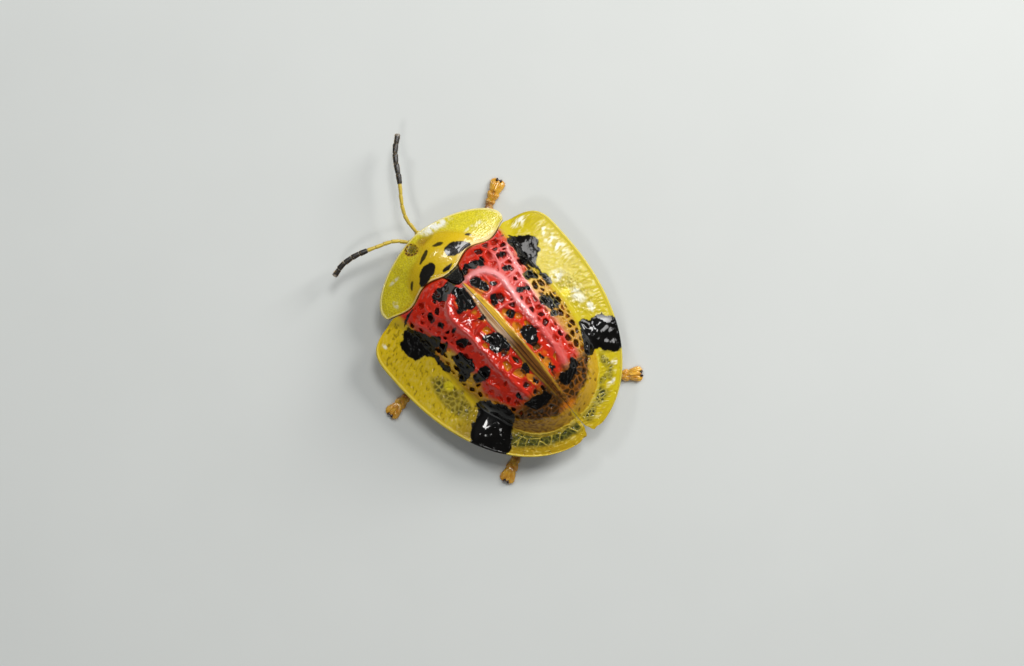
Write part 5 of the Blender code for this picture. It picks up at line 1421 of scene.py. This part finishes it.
def makeEyes(paint, facetPaint):
    tree = growTree("eyeFacets", (("Facet", "Float", 0.00002), ("Paint", "Material", None)), buildFacets)
    for hand, side in (("left", 1), ("right", -1)):
        centre = np.array(headForm["centre"]) + (side * headForm["eyeX"], headForm["eyeY"], headForm["eyeZ"])
        radii = np.array(headForm["eyeRadii"])
        ball = makeObject("compound_eye_" + hand, orbShape(lambda way: centre + way * radii, 40, 60), paint)
        net = bmesh.new()
        bmesh.ops.create_icosphere(net, subdivisions=4, radius=1.0)
        mesh = bpy.data.meshes.new("net")
        for vertex in net.verts:
            vertex.co = Vector((centre + np.array(vertex.co) * radii) * millimetre + origin)
        limit = side * (centre[0] - side * headForm["facetsFrom"]) * millimetre
        inHead = [vertex for vertex in net.verts if side * (vertex.co.x - origin[0]) < limit]
        bmesh.ops.delete(net, geom=inHead, context="VERTS")
        net.to_mesh(mesh)
        net.free()
        base = addObject("net", mesh)
        facets = grown("eye_facets_" + hand, base, tree,
                       {"Facet": headForm["facet"] / 2 * millimetre, "Paint": facetPaint})
        discard(base)
        settle(ball, "eye", "eye_" + hand)
        settle(facets, "eye")
        print("eye", hand, len(facets.data.polygons), "faces")


makeCamera()
makeLights()
makeFloor()
wingPaint = wingCasePaint()
makeWingCase("left", wingPaint)
makeWingCase("right", wingPaint)
makeNeckShield(neckShieldPaint())
makeScutellum(blackPaint())
abdomen = makeUnderside(skinPaint("darkUnderside", (0.07, 0.028, 0.012), (0.025, 0.011, 0.006), 0.28))
hairPaint = skinPaint("goldenHair", (0.78, 0.56, 0.25), (0.6, 0.36, 0.1), 0.4)
hairTree = growTree("shortHairs", hairInputs, buildHairs)
legFinish, clawFinish = legPaint(), skinPaint("darkClaws", (0.06, 0.018, 0.006), (0.02, 0.008, 0.004), 0.15)
for name, plan in legPlans.items():
    limb = makeLeg(name, plan, legFinish, clawFinish)
    growHairs("leg_hairs_" + name, limb, hairTree, "leg", Density=140e6, Length=0.00011, Thickness=0.000014,
              Lean=(0.0, 0.0, -0.4), Seed=5, Paint=hairPaint)
growHairs("belly_hairs", abdomen, hairTree, "underside", Density=18e6, Length=0.00016, Thickness=0.000012,
          Lean=(0.0, 0.9, 0.0), Seed=8, Paint=hairPaint)
for feeler in makeAntennae(antennaPaint()):
    growHairs("feeler_hairs_" + feeler.name.split("_")[-1], feeler, hairTree, "antenna", Density=90e6,
              Length=0.00008, Thickness=0.00001, Lean=(0.3, -0.4, 0.0), Seed=9, Paint=hairPaint)
headFinish = skinPaint("ochreHead", (0.52, 0.29, 0.03), (0.36, 0.16, 0.02), 0.25)
makeHead(headFinish, clawFinish)
makeEyes(skinPaint("darkEye", (0.1, 0.045, 0.01), (0.04, 0.018, 0.006), 0.2), facetsPaint())

bpy.context.scene.view_settings.view_transform = "Standard"
